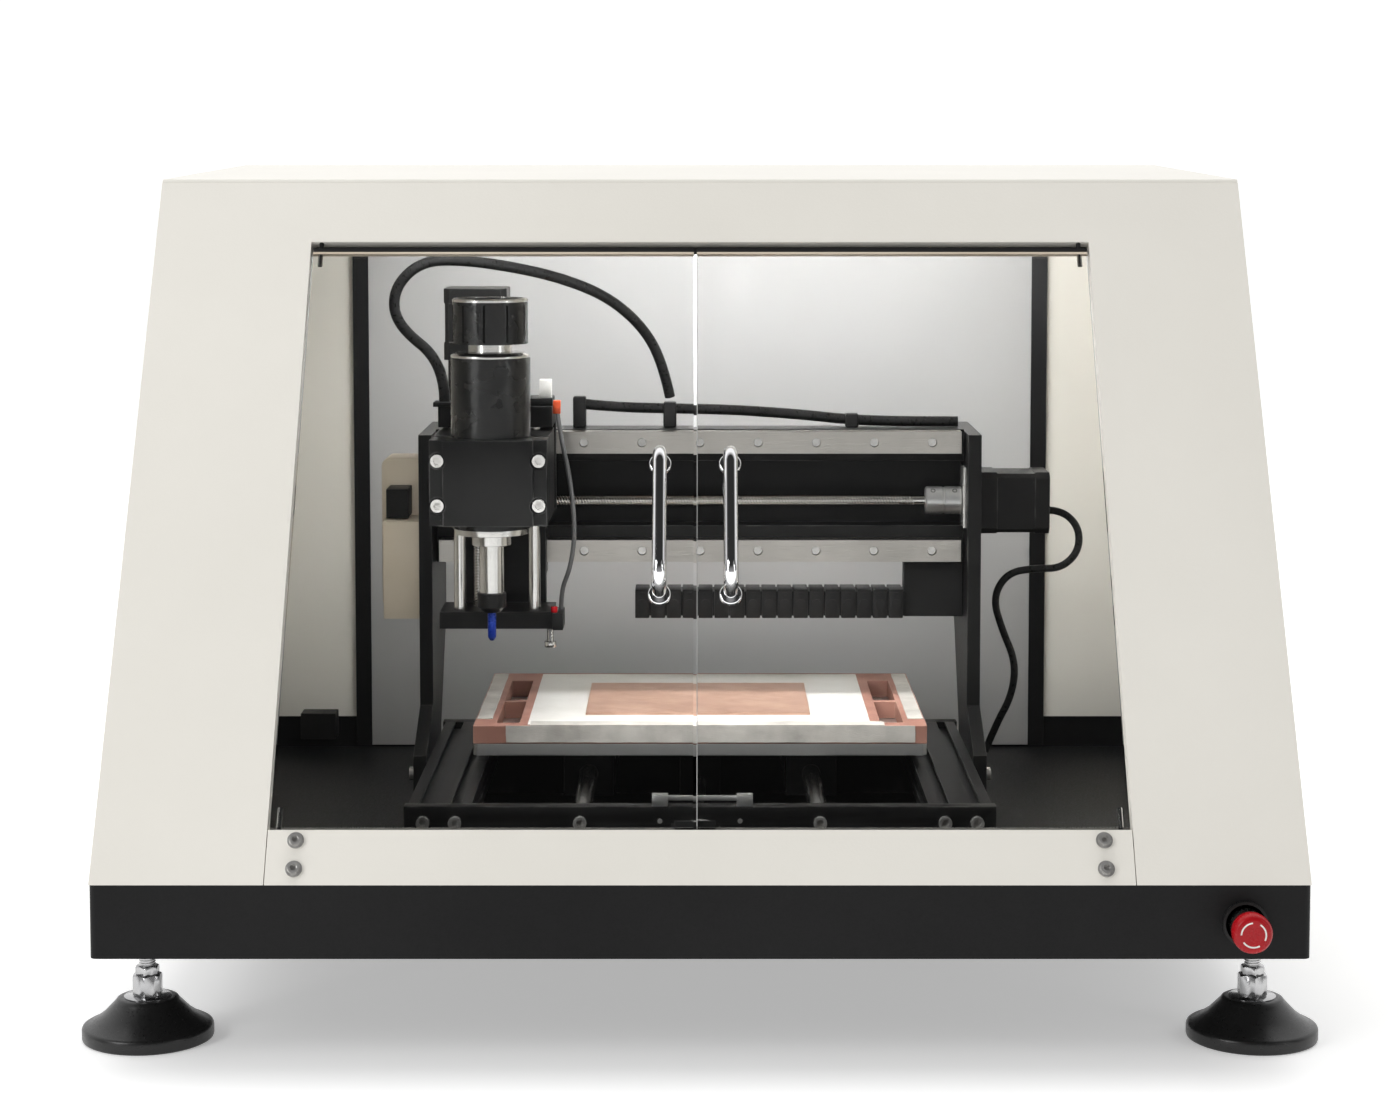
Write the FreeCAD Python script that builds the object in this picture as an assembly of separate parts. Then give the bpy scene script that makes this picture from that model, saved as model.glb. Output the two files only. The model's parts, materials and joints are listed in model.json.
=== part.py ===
import FreeCAD, Part
import math
import os

Vector = FreeCAD.Vector
os.makedirs("parts", exist_ok=True)

# ---------------------------------------------------------------- driving dimensions, in millimetres
# X is across, Y runs from front to back and Z is up. Setbacks are measured from the tray's front face.

# Enclosure
WIDTH = 700.0
DEPTH = 603.0
SHEET = 2.0
FOOT_HEIGHT = 66.0
TRAY_HEIGHT = 43.0
TRAY_CORNER = 4.0
HOOD_FRONT_HEIGHT = 402.0
HOOD_REAR_RISE = 10.0
HOOD_LEAN = 260.0
WINDOW_WIDTH = 500.0
SILL_HEIGHT = 28.0
HEAD_HEIGHT = 362.0
RETURN_DEPTH = 10.0
RETURN_SHEET = 1.5
WALL_DIP = 17.0

# Doors
DOOR_THICKNESS = 5.0
DOOR_SPLIT_X = -3.0
DOOR_SPLIT_GAP = 2.0
DOOR_EDGE_GAP = 1.5
DOOR_TOP_GAP = 5.0
HINGE_INSET = 5.0
HINGE_PIN_RADIUS = 1.5
HINGE_PIN_DEPTH = 12.0
PIN_HOLD = 6.0
RUNNING_FIT = 0.05
HANDLE_OFFSET = 21.5
HANDLE_CENTRES = 88.0
HANDLE_LOW = 181.8
HANDLE_STANDOFF = 29.0
HANDLE_RADIUS = 4.4
HANDLE_BEND = 10.0
ROSETTE_RADIUS = 6.9
ROSETTE_HEIGHT = 3.0

# Lower front panel bolts
PANEL_BOLT_X = 233.0
PANEL_BOLT_HEIGHTS = (9.6, 26.8)
SEAM = 0.5

# Levelling feet
FOOT_X = 330.0
FOOT_SETBACK = 68.0
PAD_RADIUS = 39.0
PAD_RIM = 9.0
PAD_TOP = 25.0
PAD_NECK_RADIUS = 18.0
ADJUSTER_HEIGHT = 13.6
STUD_RADIUS = 5.0
BUSH_HEIGHT = 10.0
BUSH_RADIUS = 9.0

# Stop button
STOP_X = 312.0
STOP_RISE = 21.0
STOP_RADIUS = 11.5
STOP_PROUD = 27.0
STOP_TRAVEL = 4.0
STOP_BODY_RADIUS = 8.0
STOP_STEM_RADIUS = 6.0

# Rear panel and inlet
PANEL_HALF_WIDTH = 255.0
TRIM_WIDTH = 12.0
INLET_X = -295.0
INLET_PROUD = 3.0
INLET_HALF_WIDTH = 13.5
INLET_HALF_HEIGHT = 10.0

# Bed
BED_SETBACK = 153.0
BED_LENGTH = 288.0
BED_PLATE = 10.0
BED_PLATE_HALF = 185.0
BED_HALF = 183.0
BED_TOP = 120.0
PROFILE_WIDTH = 40.0
PROFILE_HEIGHT = 20.0
SLOT_WIDTH = 6.0
SLOT_DEPTH = 5.0
SLOT_PITCH = 20.0
BORE_RADIUS = 2.1
ROD_X = 75.0
ROD_RADIUS = 6.0
ROD_Z = 110.0
Y_SCREW_Z = 93.0
SCREW_RADIUS = 4.0
COUPLING_RADIUS = 9.5
COUPLING_LENGTH = 25.0
MOTOR_WIDTH = 42.3
MOTOR_LENGTH = 48.0
MOTOR_SHAFT_RADIUS = 2.5
STANDOFF = 30.0
STANDOFF_RADIUS = 3.0
MOTOR_HOLE_PITCH = 31.0

# Table
TABLE_SETBACK = 261.0
TABLE_WIDTH = 300.0
TABLE_LENGTH = 200.0
TABLE_RISE = 10.0
TABLE_PLATE = 8.0
SPOILBOARD = 12.0
BLOCK_SETBACKS = (300.0, 394.0)
BLOCK_LENGTH = 36.0
BLOCK_HALF_WIDTH = 17.0
BLOCK_DROP = 35.0

# Gantry
UPRIGHT = 9.0
UPRIGHT_TOP = 336.0
UPRIGHT_BOTTOM = 99.0
RAIL_SETBACK = 354.0
RAIL_HEIGHT = 15.0
RAIL_WIDTH = 15.0
RAIL_HALF_LENGTH = 180.0
RAIL_HOLE_PITCH = 40.0
TOP_RAIL_Z = 329.0
LOW_RAIL_Z = 254.0
BEAM_BOTTOM = 244.5
BEAM_TOP = 337.0
BEAM_DEPTH = 30.0
RECESS_DEPTH = 20.0
RECESS_BOTTOM = 270.0
RECESS_TOP = 315.0
X_SCREW_Z = 288.0
X_SCREW_SETBACK = 366.0

# Carriage and spindle
CARRIAGE_X = -136.5
CARRIAGE_SETBACK = 338.0
CARRIAGE_PLATE = 10.0
CARRIAGE_BOTTOM = 209.5
LOW_PLATE = 11.5
TOP_PLATE_BOTTOM = 345.0
TOP_PLATE = 14.0
END_PLATE_SETBACK = 293.0
Z_ROD_OFFSET = 25.0
Z_ROD_RADIUS = 4.0
Z_ROD_SETBACK = 305.0
Z_SCREW_OFFSET = -14.0
Z_SCREW_SETBACK = 326.0
SPINDLE_SETBACK = 254.0
SPINDLE_RADIUS = 26.0
SPINDLE_BOTTOM = 283.0
SPINDLE_TOP = 394.5
CLAMP_BOTTOM = 287.0
CLAMP_TOP = 342.7
CLAMP_FRONT = 222.0
CLAMP_SLIT = 2.0
CLAMP_WALL = 12.0
CLAMP_BOLT_CLEARANCE = 6.7
CLAMP_BOLT_PITCH = 29.0
MOUNT_DEPTH = 66.0

# ---------------------------------------------------------------- shared places
FRONT = -(DEPTH + INLET_PROUD - STOP_PROUD) / 2
REAR = FRONT + DEPTH
TRAY_FLOOR = FOOT_HEIGHT + SHEET
TRAY_TOP = FOOT_HEIGHT + TRAY_HEIGHT
INLET_Z = FOOT_HEIGHT + TRAY_HEIGHT / 2
HOOD_FRONT_TOP = TRAY_TOP + HOOD_FRONT_HEIGHT
HOOD_REAR_TOP = HOOD_FRONT_TOP + HOOD_REAR_RISE
LEAN_ANGLE = math.atan2(HOOD_LEAN, HOOD_FRONT_HEIGHT)
LEAN_COS = math.cos(LEAN_ANGLE)
SLOPE_LENGTH = math.hypot(HOOD_LEAN, HOOD_FRONT_HEIGHT)
SILL = SILL_HEIGHT / LEAN_COS
HEAD = HEAD_HEIGHT / LEAN_COS
SLOPE = FreeCAD.Placement(
    Vector(0, FRONT, TRAY_TOP), FreeCAD.Rotation(Vector(1, 0, 0), -math.degrees(LEAN_ANGLE))
)
HALF_WINDOW = WINDOW_WIDTH / 2
DOOR_BOTTOM = SILL + DOOR_EDGE_GAP
DOOR_TOP = HEAD - DOOR_TOP_GAP
HINGE_X = HALF_WINDOW - DOOR_EDGE_GAP - HINGE_INSET
HINGE_Y = DOOR_THICKNESS / 2
HOLD = 60.0

BED_FRONT = FRONT + BED_SETBACK
BED_REAR = BED_FRONT + BED_LENGTH
TABLE_BOTTOM = BED_TOP + TABLE_RISE
BOARD_BOTTOM = TABLE_BOTTOM + TABLE_PLATE
BOARD_TOP = BOARD_BOTTOM + SPOILBOARD
TABLE_FRONT = FRONT + TABLE_SETBACK
TABLE_REAR = TABLE_FRONT + TABLE_LENGTH
RAIL_FRONT = FRONT + RAIL_SETBACK
BEAM_FRONT = RAIL_FRONT + RAIL_HEIGHT
BEAM_REAR = BEAM_FRONT + BEAM_DEPTH
X_SCREW_Y = FRONT + X_SCREW_SETBACK
UPRIGHT_OUT = BED_HALF + UPRIGHT
COUPLING_START = BED_HALF - 2 - COUPLING_LENGTH
CARRIAGE_FRONT = FRONT + CARRIAGE_SETBACK
CARRIAGE_REAR = CARRIAGE_FRONT + CARRIAGE_PLATE
CARRIAGE_HALF = SPINDLE_RADIUS + CLAMP_WALL
CLAMP_BOLT_OFFSET = SPINDLE_RADIUS + CLAMP_BOLT_CLEARANCE
CARRIAGE_LEFT = CARRIAGE_X - CARRIAGE_HALF
CARRIAGE_RIGHT = CARRIAGE_X + CARRIAGE_HALF
END_PLATE_FRONT = FRONT + END_PLATE_SETBACK
LOW_PLATE_TOP = CARRIAGE_BOTTOM + LOW_PLATE
TOP_PLATE_TOP = TOP_PLATE_BOTTOM + TOP_PLATE
Z_ROD_Y = FRONT + Z_ROD_SETBACK
Z_SCREW_X = CARRIAGE_X + Z_SCREW_OFFSET
Z_SCREW_Y = FRONT + Z_SCREW_SETBACK
SPINDLE_Y = FRONT + SPINDLE_SETBACK
CLAMP_MIDDLE = (CLAMP_BOTTOM + CLAMP_TOP) / 2


# ---------------------------------------------------------------- shapes
def box(x0, x1, y0, y1, z0, z1):
    return Part.makeBox(x1 - x0, y1 - y0, z1 - z0, Vector(x0, y0, z0))


def rod(radius, start, end):
    along = Vector(*end) - Vector(*start)
    return Part.makeCylinder(radius, along.Length, Vector(*start), along)


def upright_rod(radius, x, y, z0, z1):
    return rod(radius, (x, y, z0), (x, y, z1))


def cross_rod(radius, x0, x1, y, z):
    return rod(radius, (x0, y, z), (x1, y, z))


def long_rod(radius, x, y0, y1, z):
    return rod(radius, (x, y0, z), (x, y1, z))


def prism(outline, x0, x1):
    """A solid between two X places, with an outline of (y, z) points."""
    corners = [Vector(x0, y, z) for y, z in outline]
    face = Part.Face(Part.makePolygon(corners + corners[:1]))
    return face.extrude(Vector(x1 - x0, 0, 0))


def turned(outline, x, y):
    """A solid of revolution about an upright line, with an outline of (radius, z) points."""
    corners = [Vector(x + radius, y, z) for radius, z in outline]
    face = Part.Face(Part.makePolygon(corners + corners[:1]))
    return face.revolve(Vector(x, y, 0), Vector(0, 0, 1), 360)


def hexagon(width, x, y, z0, z1):
    """An upright hexagonal prism, with its width across flats."""
    radius = width / math.sqrt(3)
    turns = [math.radians(60 * side) for side in range(6)]
    corners = [Vector(x + radius * math.cos(t), y + radius * math.sin(t), z0) for t in turns]
    return Part.Face(Part.makePolygon(corners + corners[:1])).extrude(Vector(0, 0, z1 - z0))


def joined(shapes):
    return shapes[0].multiFuse(shapes[1:]).removeSplitter()


def mirrored(shape):
    return shape.mirror(Vector(0, 0, 0), Vector(1, 0, 0))


def both_sides(shape):
    return [shape, mirrored(shape)]


def along_edges(shape, direction):
    return [e for e in shape.Edges if e.Curve.TypeId == "Part::GeomLine"
            and abs(abs(e.tangentAt(e.FirstParameter).dot(direction)) - 1) < 1e-6]


def on_slope(shape):
    """A piece drawn on the leaning front: X across, Y inwards and Z up the slope."""
    placed = shape.copy()
    placed.Placement = SLOPE.multiply(placed.Placement)
    return placed


def socket_bolt(head_radius, head_height, shank_radius, length, flange_radius=0.0):
    """A bolt along Y: its head in front of Y = 0 and its shank behind it."""
    bolt = long_rod(head_radius, 0, -head_height, 0, 0).fuse(long_rod(shank_radius, 0, 0, length, 0))
    if flange_radius:
        bolt = bolt.fuse(long_rod(flange_radius, 0, -head_height / 3, 0, 0))
    key = hexagon(head_radius, 0, 0, 0, head_height)
    key.rotate(Vector(0, 0, 0), Vector(1, 0, 0), 90)
    return bolt.cut(key.translated(Vector(0, -head_height / 3, 0)))


def motor(length):
    """A square stepper motor with its shaft side at Z = 0, reaching down from there."""
    half = MOTOR_WIDTH / 2
    body = box(-half, half, -half, half, -length, 0)
    body = body.makeChamfer(4.0, along_edges(body, Vector(0, 0, 1)))
    groove = body.common(box(-half, half, -half, half, -length + 10, -12))
    inner = box(-half + 0.8, half - 0.8, -half + 0.8, half - 0.8, -length + 10, -12)
    body = body.cut(groove.cut(inner))
    body = body.fuse(rod(11, (0, 0, 0), (0, 0, 2)))
    return body.cut(rod(MOTOR_SHAFT_RADIUS + RUNNING_FIT, (0, 0, -6), (0, 0, 2)))


def pointing(shape, direction, place):
    """A shape drawn along +Z, turned to point along a direction and moved to a place."""
    turned_shape = shape.copy()
    turned_shape.Placement = FreeCAD.Placement(
        Vector(*place), FreeCAD.Rotation(Vector(0, 0, 1), Vector(*direction))
    )
    return turned_shape


def cable(points, radius):
    """A cable through a route of points: straight runs joined by tangent arcs as large as they fit."""
    route = [Vector(*p) for p in points]
    edges, start, tightest = [], route[0], 999.0
    for before, corner, after in zip(route, route[1:], route[2:]):
        back, ahead = before - corner, after - corner
        reach = 0.45 * min(back.Length, ahead.Length)
        back.normalize()
        ahead.normalize()
        half_turn = (math.pi - back.getAngle(ahead)) / 2
        bend = reach / math.tan(half_turn)
        tightest = min(tightest, bend)
        bisector = back + ahead
        bisector.normalize()
        centre = corner + bisector * (bend / math.cos(half_turn))
        begin, end = corner + back * reach, corner + ahead * reach
        middle = centre - bisector * bend
        edges += [Part.LineSegment(start, begin).toShape(), Part.Arc(begin, middle, end).toShape()]
        start = end
    edges.append(Part.LineSegment(start, route[-1]).toShape())
    path = Part.Wire(edges)
    ahead = route[1] - route[0]
    section = Part.Wire(Part.makeCircle(radius, route[0], ahead))
    tube = path.makePipeShell([section], True, False)
    print("cable", round(path.Length), "mm long, tightest bend", round(tightest, 1), "volume",
          round(tube.Volume / (math.pi * radius ** 2 * path.Length), 4))
    return tube


def save(name, *solids):
    shape = solids[0] if len(solids) == 1 else Part.makeCompound(list(solids))
    shape.exportStep(f"parts/{name}.step")


# ---------------------------------------------------------------- enclosure
def foot_places():
    rows = (FRONT + FOOT_SETBACK, REAR - FOOT_SETBACK)
    return [(x, y) for y in rows for x in (-FOOT_X, FOOT_X)]


def make_tray():
    half = WIDTH / 2
    outer = box(-half, half, FRONT, REAR, FOOT_HEIGHT, TRAY_TOP)
    outer = outer.makeFillet(TRAY_CORNER, along_edges(outer, Vector(0, 0, 1)))
    inner = box(-half + SHEET, half - SHEET, FRONT + SHEET, REAR - SHEET, TRAY_FLOOR, TRAY_TOP + 1)
    inner = inner.makeFillet(TRAY_CORNER - SHEET, along_edges(inner, Vector(0, 0, 1)))
    tray = outer.cut(inner)
    for x, y in foot_places():
        tray = tray.fuse(upright_rod(BUSH_RADIUS, x, y, FOOT_HEIGHT, TRAY_FLOOR + BUSH_HEIGHT))
        tray = tray.cut(upright_rod(STUD_RADIUS + RUNNING_FIT, x, y, 0, TRAY_TOP))
    stop_z = FOOT_HEIGHT + STOP_RISE
    tray = tray.cut(long_rod(STOP_BODY_RADIUS, STOP_X, FRONT, FRONT + SHEET, stop_z))
    tray = tray.cut(inlet_block(INLET_HALF_WIDTH, INLET_HALF_HEIGHT, REAR - SHEET, REAR, INLET_Z))
    save("base_tray", tray.removeSplitter())


def inlet_block(half_width, half_height, y0, y1, z):
    return box(INLET_X - half_width, INLET_X + half_width, y0, y1, z - half_height, z + half_height)


def make_feet():
    names = ("front_left_foot", "front_right_foot", "rear_left_foot", "rear_right_foot")
    for name, (x, y) in zip(names, foot_places()):
        pad = turned([(0, 0), (PAD_RADIUS - 1, 0), (PAD_RADIUS, 1), (PAD_RADIUS, PAD_RIM - 1.5),
                      (PAD_RADIUS - 1.5, PAD_RIM), (PAD_NECK_RADIUS + 1, PAD_TOP - 1),
                      (PAD_NECK_RADIUS, PAD_TOP), (0, PAD_TOP)], x, y)
        stud = upright_rod(STUD_RADIUS, x, y, PAD_TOP, FOOT_HEIGHT + SHEET + BUSH_HEIGHT + 6)
        adjuster = hexagon(16, x, y, PAD_TOP, PAD_TOP + ADJUSTER_HEIGHT)
        adjuster = adjuster.fuse(hexagon(13, x, y, PAD_TOP, PAD_TOP + ADJUSTER_HEIGHT + 5))
        lock_nut = hexagon(16, x, y, FOOT_HEIGHT - 8.3, FOOT_HEIGHT - 0.3)
        save(name, pad, joined([stud, adjuster, lock_nut]))


def front_profile(inset_front, inset_back):
    """The leaning front sheet's outline in (y, z), between two depths into it."""
    near, far = inset_front / LEAN_COS, inset_back / LEAN_COS
    return [(FRONT + near, TRAY_TOP), (FRONT + far, TRAY_TOP),
            (FRONT + far + HOOD_LEAN, HOOD_FRONT_TOP), (FRONT + near + HOOD_LEAN, HOOD_FRONT_TOP)]


def roof_underside():
    """The underside's rear and front ends in (y, z); the front end lies on the leaning face."""
    drop = SHEET * HOOD_LEAN / HOOD_FRONT_HEIGHT
    return [(REAR, HOOD_REAR_TOP - SHEET), (FRONT + HOOD_LEAN - drop, HOOD_FRONT_TOP - SHEET)]


def roof():
    outline = [(FRONT + HOOD_LEAN, HOOD_FRONT_TOP), (REAR, HOOD_REAR_TOP)] + roof_underside()
    return prism(outline, -WIDTH / 2, WIDTH / 2)


def make_hood():
    half = WIDTH / 2
    top = roof()
    front = prism(front_profile(0, SHEET), -half, half).cut(top)
    hole = on_slope(box(-HALF_WINDOW, HALF_WINDOW, -HOLD, HOLD, -HOLD, HEAD))
    rim = on_slope(box(-HALF_WINDOW - RETURN_SHEET, HALF_WINDOW + RETURN_SHEET, 0, RETURN_DEPTH,
                       0, HEAD + RETURN_SHEET))
    above_tray = box(-half, half, FRONT - HOLD, REAR, TRAY_TOP, HOOD_REAR_TOP)
    front = front.fuse(rim.common(above_tray)).cut(hole)
    tab = box(PANEL_BOLT_X - 5, HALF_WINDOW, SHEET, 2 * SHEET, 5, SILL - 10)
    tab = tab.fuse(box(PANEL_BOLT_X - 5, HINGE_X - 6, SHEET, 2 * SHEET, 5, SILL - RETURN_SHEET))
    for height in PANEL_BOLT_HEIGHTS:
        tab = tab.cut(long_rod(2, PANEL_BOLT_X, 0, HOLD, height))
    tabs = [on_slope(shape) for shape in both_sides(tab)]
    front = joined([front] + tabs)
    pins = [on_slope(upright_rod(HINGE_PIN_RADIUS, side * HINGE_X, HINGE_Y, HEAD - 1, HEAD + PIN_HOLD))
            for side in (-1, 1)]
    save("hood_front_frame", front.cut(Part.makeCompound(pins)))

    side_outline = [(FRONT + SHEET / LEAN_COS, TRAY_TOP), (REAR, TRAY_TOP), (REAR, HOOD_REAR_TOP),
                    (FRONT + HOOD_LEAN, HOOD_FRONT_TOP)]
    side = prism(side_outline, half - SHEET, half).cut(prism(front_profile(-HOLD, SHEET), 0, half + 1))
    save("hood_cover", joined([top] + both_sides(side)))

    wall_y = REAR - 2 * SHEET
    wall = box(-half + SHEET, half - SHEET, wall_y, wall_y + SHEET, TRAY_TOP, HOOD_REAR_TOP)
    wall = wall.common(prism([(FRONT, TRAY_TOP), (REAR, TRAY_TOP)] + roof_underside(), -half, half))
    dip_half = half - SHEET - TRAY_CORNER
    dip = box(-dip_half, dip_half, wall_y, wall_y + SHEET, TRAY_TOP - WALL_DIP, TRAY_TOP)
    wall = wall.fuse(dip.cut(inlet_block(INLET_HALF_WIDTH, INLET_HALF_HEIGHT, wall_y, REAR, INLET_Z)))
    panel_bottom, panel_top = TRAY_TOP + 16, HOOD_FRONT_TOP - 16
    opening = box(-PANEL_HALF_WIDTH, PANEL_HALF_WIDTH, wall_y, REAR, panel_bottom, panel_top)
    save("rear_wall", wall.cut(opening))
    lip = TRIM_WIDTH / 6
    inner_half, inner_top = PANEL_HALF_WIDTH + lip, panel_top + lip
    panel_y = wall_y - SHEET
    save("rear_access_panel", box(-inner_half, inner_half, panel_y, wall_y, TRAY_FLOOR + lip, inner_top))
    trim_out = PANEL_HALF_WIDTH + TRIM_WIDTH
    trim = box(-trim_out, trim_out, panel_y - SHEET, panel_y, TRAY_FLOOR + lip, panel_top + TRIM_WIDTH / 2)
    trim = trim.cut(box(-PANEL_HALF_WIDTH, PANEL_HALF_WIDTH, panel_y - SHEET, panel_y, TRAY_FLOOR, panel_top))
    save("rear_panel_trim", trim)


def make_lower_panel():
    half = HALF_WINDOW - SEAM
    face = box(-half, half, 0, SHEET, 0, SILL)
    lip = box(-half, half, 0, RETURN_DEPTH, SILL - RETURN_SHEET, SILL)
    panel = on_slope(face.fuse(lip))
    panel = panel.common(box(-half, half, FRONT - HOLD, REAR, TRAY_TOP, HOOD_REAR_TOP))
    bolt_holes = [on_slope(long_rod(2, side * PANEL_BOLT_X, -1, SHEET + 1, height))
                  for side in (-1, 1) for height in PANEL_BOLT_HEIGHTS]
    pin_holes = [on_slope(upright_rod(HINGE_PIN_RADIUS, side * HINGE_X, HINGE_Y, SILL - 9, SILL + 1))
                 for side in (-1, 1)]
    save("lower_front_panel", panel.cut(Part.makeCompound(bolt_holes + pin_holes)).removeSplitter())


def make_door_hardware():
    pieces = []
    for side in (-1, 1):
        x = side * HINGE_X
        top_block = box(x - 4, x + 4, 0, 8, HEAD + RETURN_SHEET, HEAD + RETURN_SHEET + 9)
        top_block = top_block.cut(on_slope_cutter())
        top_pin = upright_rod(HINGE_PIN_RADIUS, x, HINGE_Y, DOOR_TOP - HINGE_PIN_DEPTH, HEAD + PIN_HOLD)
        low_block = box(x - 4, x + 4, SHEET, 9, SILL - RETURN_SHEET - 8, SILL - RETURN_SHEET)
        low_pin = upright_rod(HINGE_PIN_RADIUS, x, HINGE_Y, SILL - RETURN_SHEET - 6,
                              DOOR_BOTTOM + HINGE_PIN_DEPTH)
        pieces += [top_block.fuse(top_pin), low_block.fuse(low_pin)]
    gap = 0.3
    catch = box(DOOR_SPLIT_X - 14, DOOR_SPLIT_X + 14, RETURN_DEPTH, RETURN_DEPTH + 4, SILL - 12, SILL + 7)
    magnet = box(DOOR_SPLIT_X - 12, DOOR_SPLIT_X + 12, DOOR_THICKNESS + gap, RETURN_DEPTH, SILL, SILL + 7)
    pieces.append(catch.fuse(magnet))
    save("door_hardware", *[on_slope(piece) for piece in pieces])


def on_slope_cutter():
    """The front sheet itself, in slope coordinates."""
    return box(-WIDTH, WIDTH, -HOLD, SHEET, -HOLD, SLOPE_LENGTH + HOLD)


def make_door(name, x0, x1, handle_x, hinge_side):
    panel = box(x0, x1, 0, DOOR_THICKNESS, DOOR_BOTTOM, DOOR_TOP)
    hinge_x = hinge_side * HINGE_X
    fit = HINGE_PIN_RADIUS + RUNNING_FIT
    end_gap = 0.5
    panel = panel.cut(upright_rod(fit, hinge_x, HINGE_Y, DOOR_BOTTOM, DOOR_BOTTOM + HINGE_PIN_DEPTH + end_gap))
    panel = panel.cut(upright_rod(fit, hinge_x, HINGE_Y, DOOR_TOP - HINGE_PIN_DEPTH - end_gap, DOOR_TOP))
    ends = (HANDLE_LOW, HANDLE_LOW + HANDLE_CENTRES)
    screws, rosettes = [], []
    for height in ends:
        panel = panel.cut(long_rod(2, handle_x, 0, DOOR_THICKNESS, height))
        screw = long_rod(2, handle_x, 0, DOOR_THICKNESS, height)
        screws.append(screw.fuse(long_rod(3.5, handle_x, DOOR_THICKNESS, DOOR_THICKNESS + 2.5, height)))
        rosette = long_rod(ROSETTE_RADIUS, handle_x, -ROSETTE_HEIGHT, 0, height)
        rosette = rosette.makeFillet(1.2, [e for e in rosette.Edges if e.Curve.TypeId == "Part::GeomCircle"
                                           and e.Curve.Center.y < -1])
        rosettes.append(rosette.cut(long_rod(HANDLE_RADIUS, handle_x, -HOLD, HOLD, height)))
    save(name + "_door", on_slope(panel))
    save(name + "_handle", *[on_slope(s) for s in [handle_bar(handle_x)] + screws + rosettes])


def handle_bar(x):
    """A round bar from the door out along the stand-off, up and back again."""
    low, high = HANDLE_LOW, HANDLE_LOW + HANDLE_CENTRES
    out = -(HANDLE_STANDOFF - HANDLE_RADIUS)
    bend = HANDLE_BEND
    diagonal = bend * (1 - math.sqrt(0.5))
    first = Part.LineSegment(Vector(x, 0, low), Vector(x, out + bend, low))
    lower = Part.Arc(Vector(x, out + bend, low), Vector(x, out + diagonal, low + diagonal),
                     Vector(x, out, low + bend))
    middle = Part.LineSegment(Vector(x, out, low + bend), Vector(x, out, high - bend))
    upper = Part.Arc(Vector(x, out, high - bend), Vector(x, out + diagonal, high - diagonal),
                     Vector(x, out + bend, high))
    last = Part.LineSegment(Vector(x, out + bend, high), Vector(x, 0, high))
    path = Part.Wire([piece.toShape() for piece in (first, lower, middle, upper, last)])
    section = Part.Wire(Part.makeCircle(HANDLE_RADIUS, Vector(x, 0, low), Vector(0, 1, 0)))
    return path.makePipeShell([section], True, False)


def make_stop_button():
    z = FOOT_HEIGHT + STOP_RISE
    x = STOP_X
    neck_end = FRONT - 9
    collar = long_rod(13, x, FRONT - 3, FRONT, z).fuse(long_rod(9, x, neck_end, FRONT, z))
    collar = collar.fuse(long_rod(STOP_BODY_RADIUS, x, FRONT, FRONT + 12, z))
    collar = collar.cut(long_rod(STOP_STEM_RADIUS + RUNNING_FIT, x, neck_end, FRONT + 12, z))
    contacts = box(x - 9, x + 9, FRONT + 12, FRONT + 34, z - 12, z + 12)
    save("stop_button_collar", collar.fuse(contacts))
    stem_front = neck_end - STOP_TRAVEL - 1
    save("stop_button_stem", long_rod(STOP_STEM_RADIUS, x, stem_front, FRONT + 12 - STOP_TRAVEL - 1, z)
         .fuse(long_rod(3, x, stem_front - 6, stem_front, z)))
    head = long_rod(STOP_RADIUS, x, FRONT - STOP_PROUD, stem_front, z)
    rims = [e for e in head.Edges if e.Curve.TypeId == "Part::GeomCircle" and e.Curve.Center.y < stem_front - 2]
    head = head.makeFillet(3.0, rims)
    save("stop_button_head", head.cut(long_rod(3 + RUNNING_FIT, x, stem_front - 6.5, stem_front, z)))


def make_electronics():
    z = INLET_Z
    flange = inlet_block(INLET_HALF_WIDTH + 3, INLET_HALF_HEIGHT + 3, REAR, REAR + INLET_PROUD, z)
    body = inlet_block(INLET_HALF_WIDTH, INLET_HALF_HEIGHT, REAR - 22, REAR, z)
    socket = inlet_block(11.5, 7.5, REAR - 17, REAR + INLET_PROUD, z)
    inlet = flange.fuse(body).cut(socket)
    for x in (-7, 0, 7):
        inlet = inlet.fuse(box(INLET_X + x - 1, INLET_X + x + 1, REAR - 18, REAR - 3, z - 2, z + 2))
    save("power_inlet", inlet)

    near, far = BED_REAR + 20, REAR - 3 * SHEET - 8
    supply = box(45, 160, near, far, TRAY_FLOOR, TRAY_FLOOR + 30)
    for row in range(9):
        y = near + 14 + 12 * row
        supply = supply.cut(box(60, 145, y, y + 4, TRAY_FLOOR + 28.5, TRAY_FLOOR + 30))
    save("power_supply", supply)

    left, right = -165, -45
    board = box(left, right, near, far, TRAY_FLOOR + 10, TRAY_FLOOR + 11.6)
    posts = [upright_rod(3, x, y, TRAY_FLOOR, TRAY_FLOOR + 10)
             for x in (left + 6, right - 6) for y in (near + 6, far - 6)]
    level = TRAY_FLOOR + 11.6
    chips = [box(left + 14 + 24 * n, left + 28 + 24 * n, near + 30, near + 44, level, level + 12)
             for n in range(4)]
    terminals = [box(left + 12 + 34 * n, left + 38 + 34 * n, far - 18, far - 8, level, level + 10)
                 for n in range(3)]
    save("controller_board", board, *posts, *chips, *terminals)


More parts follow.
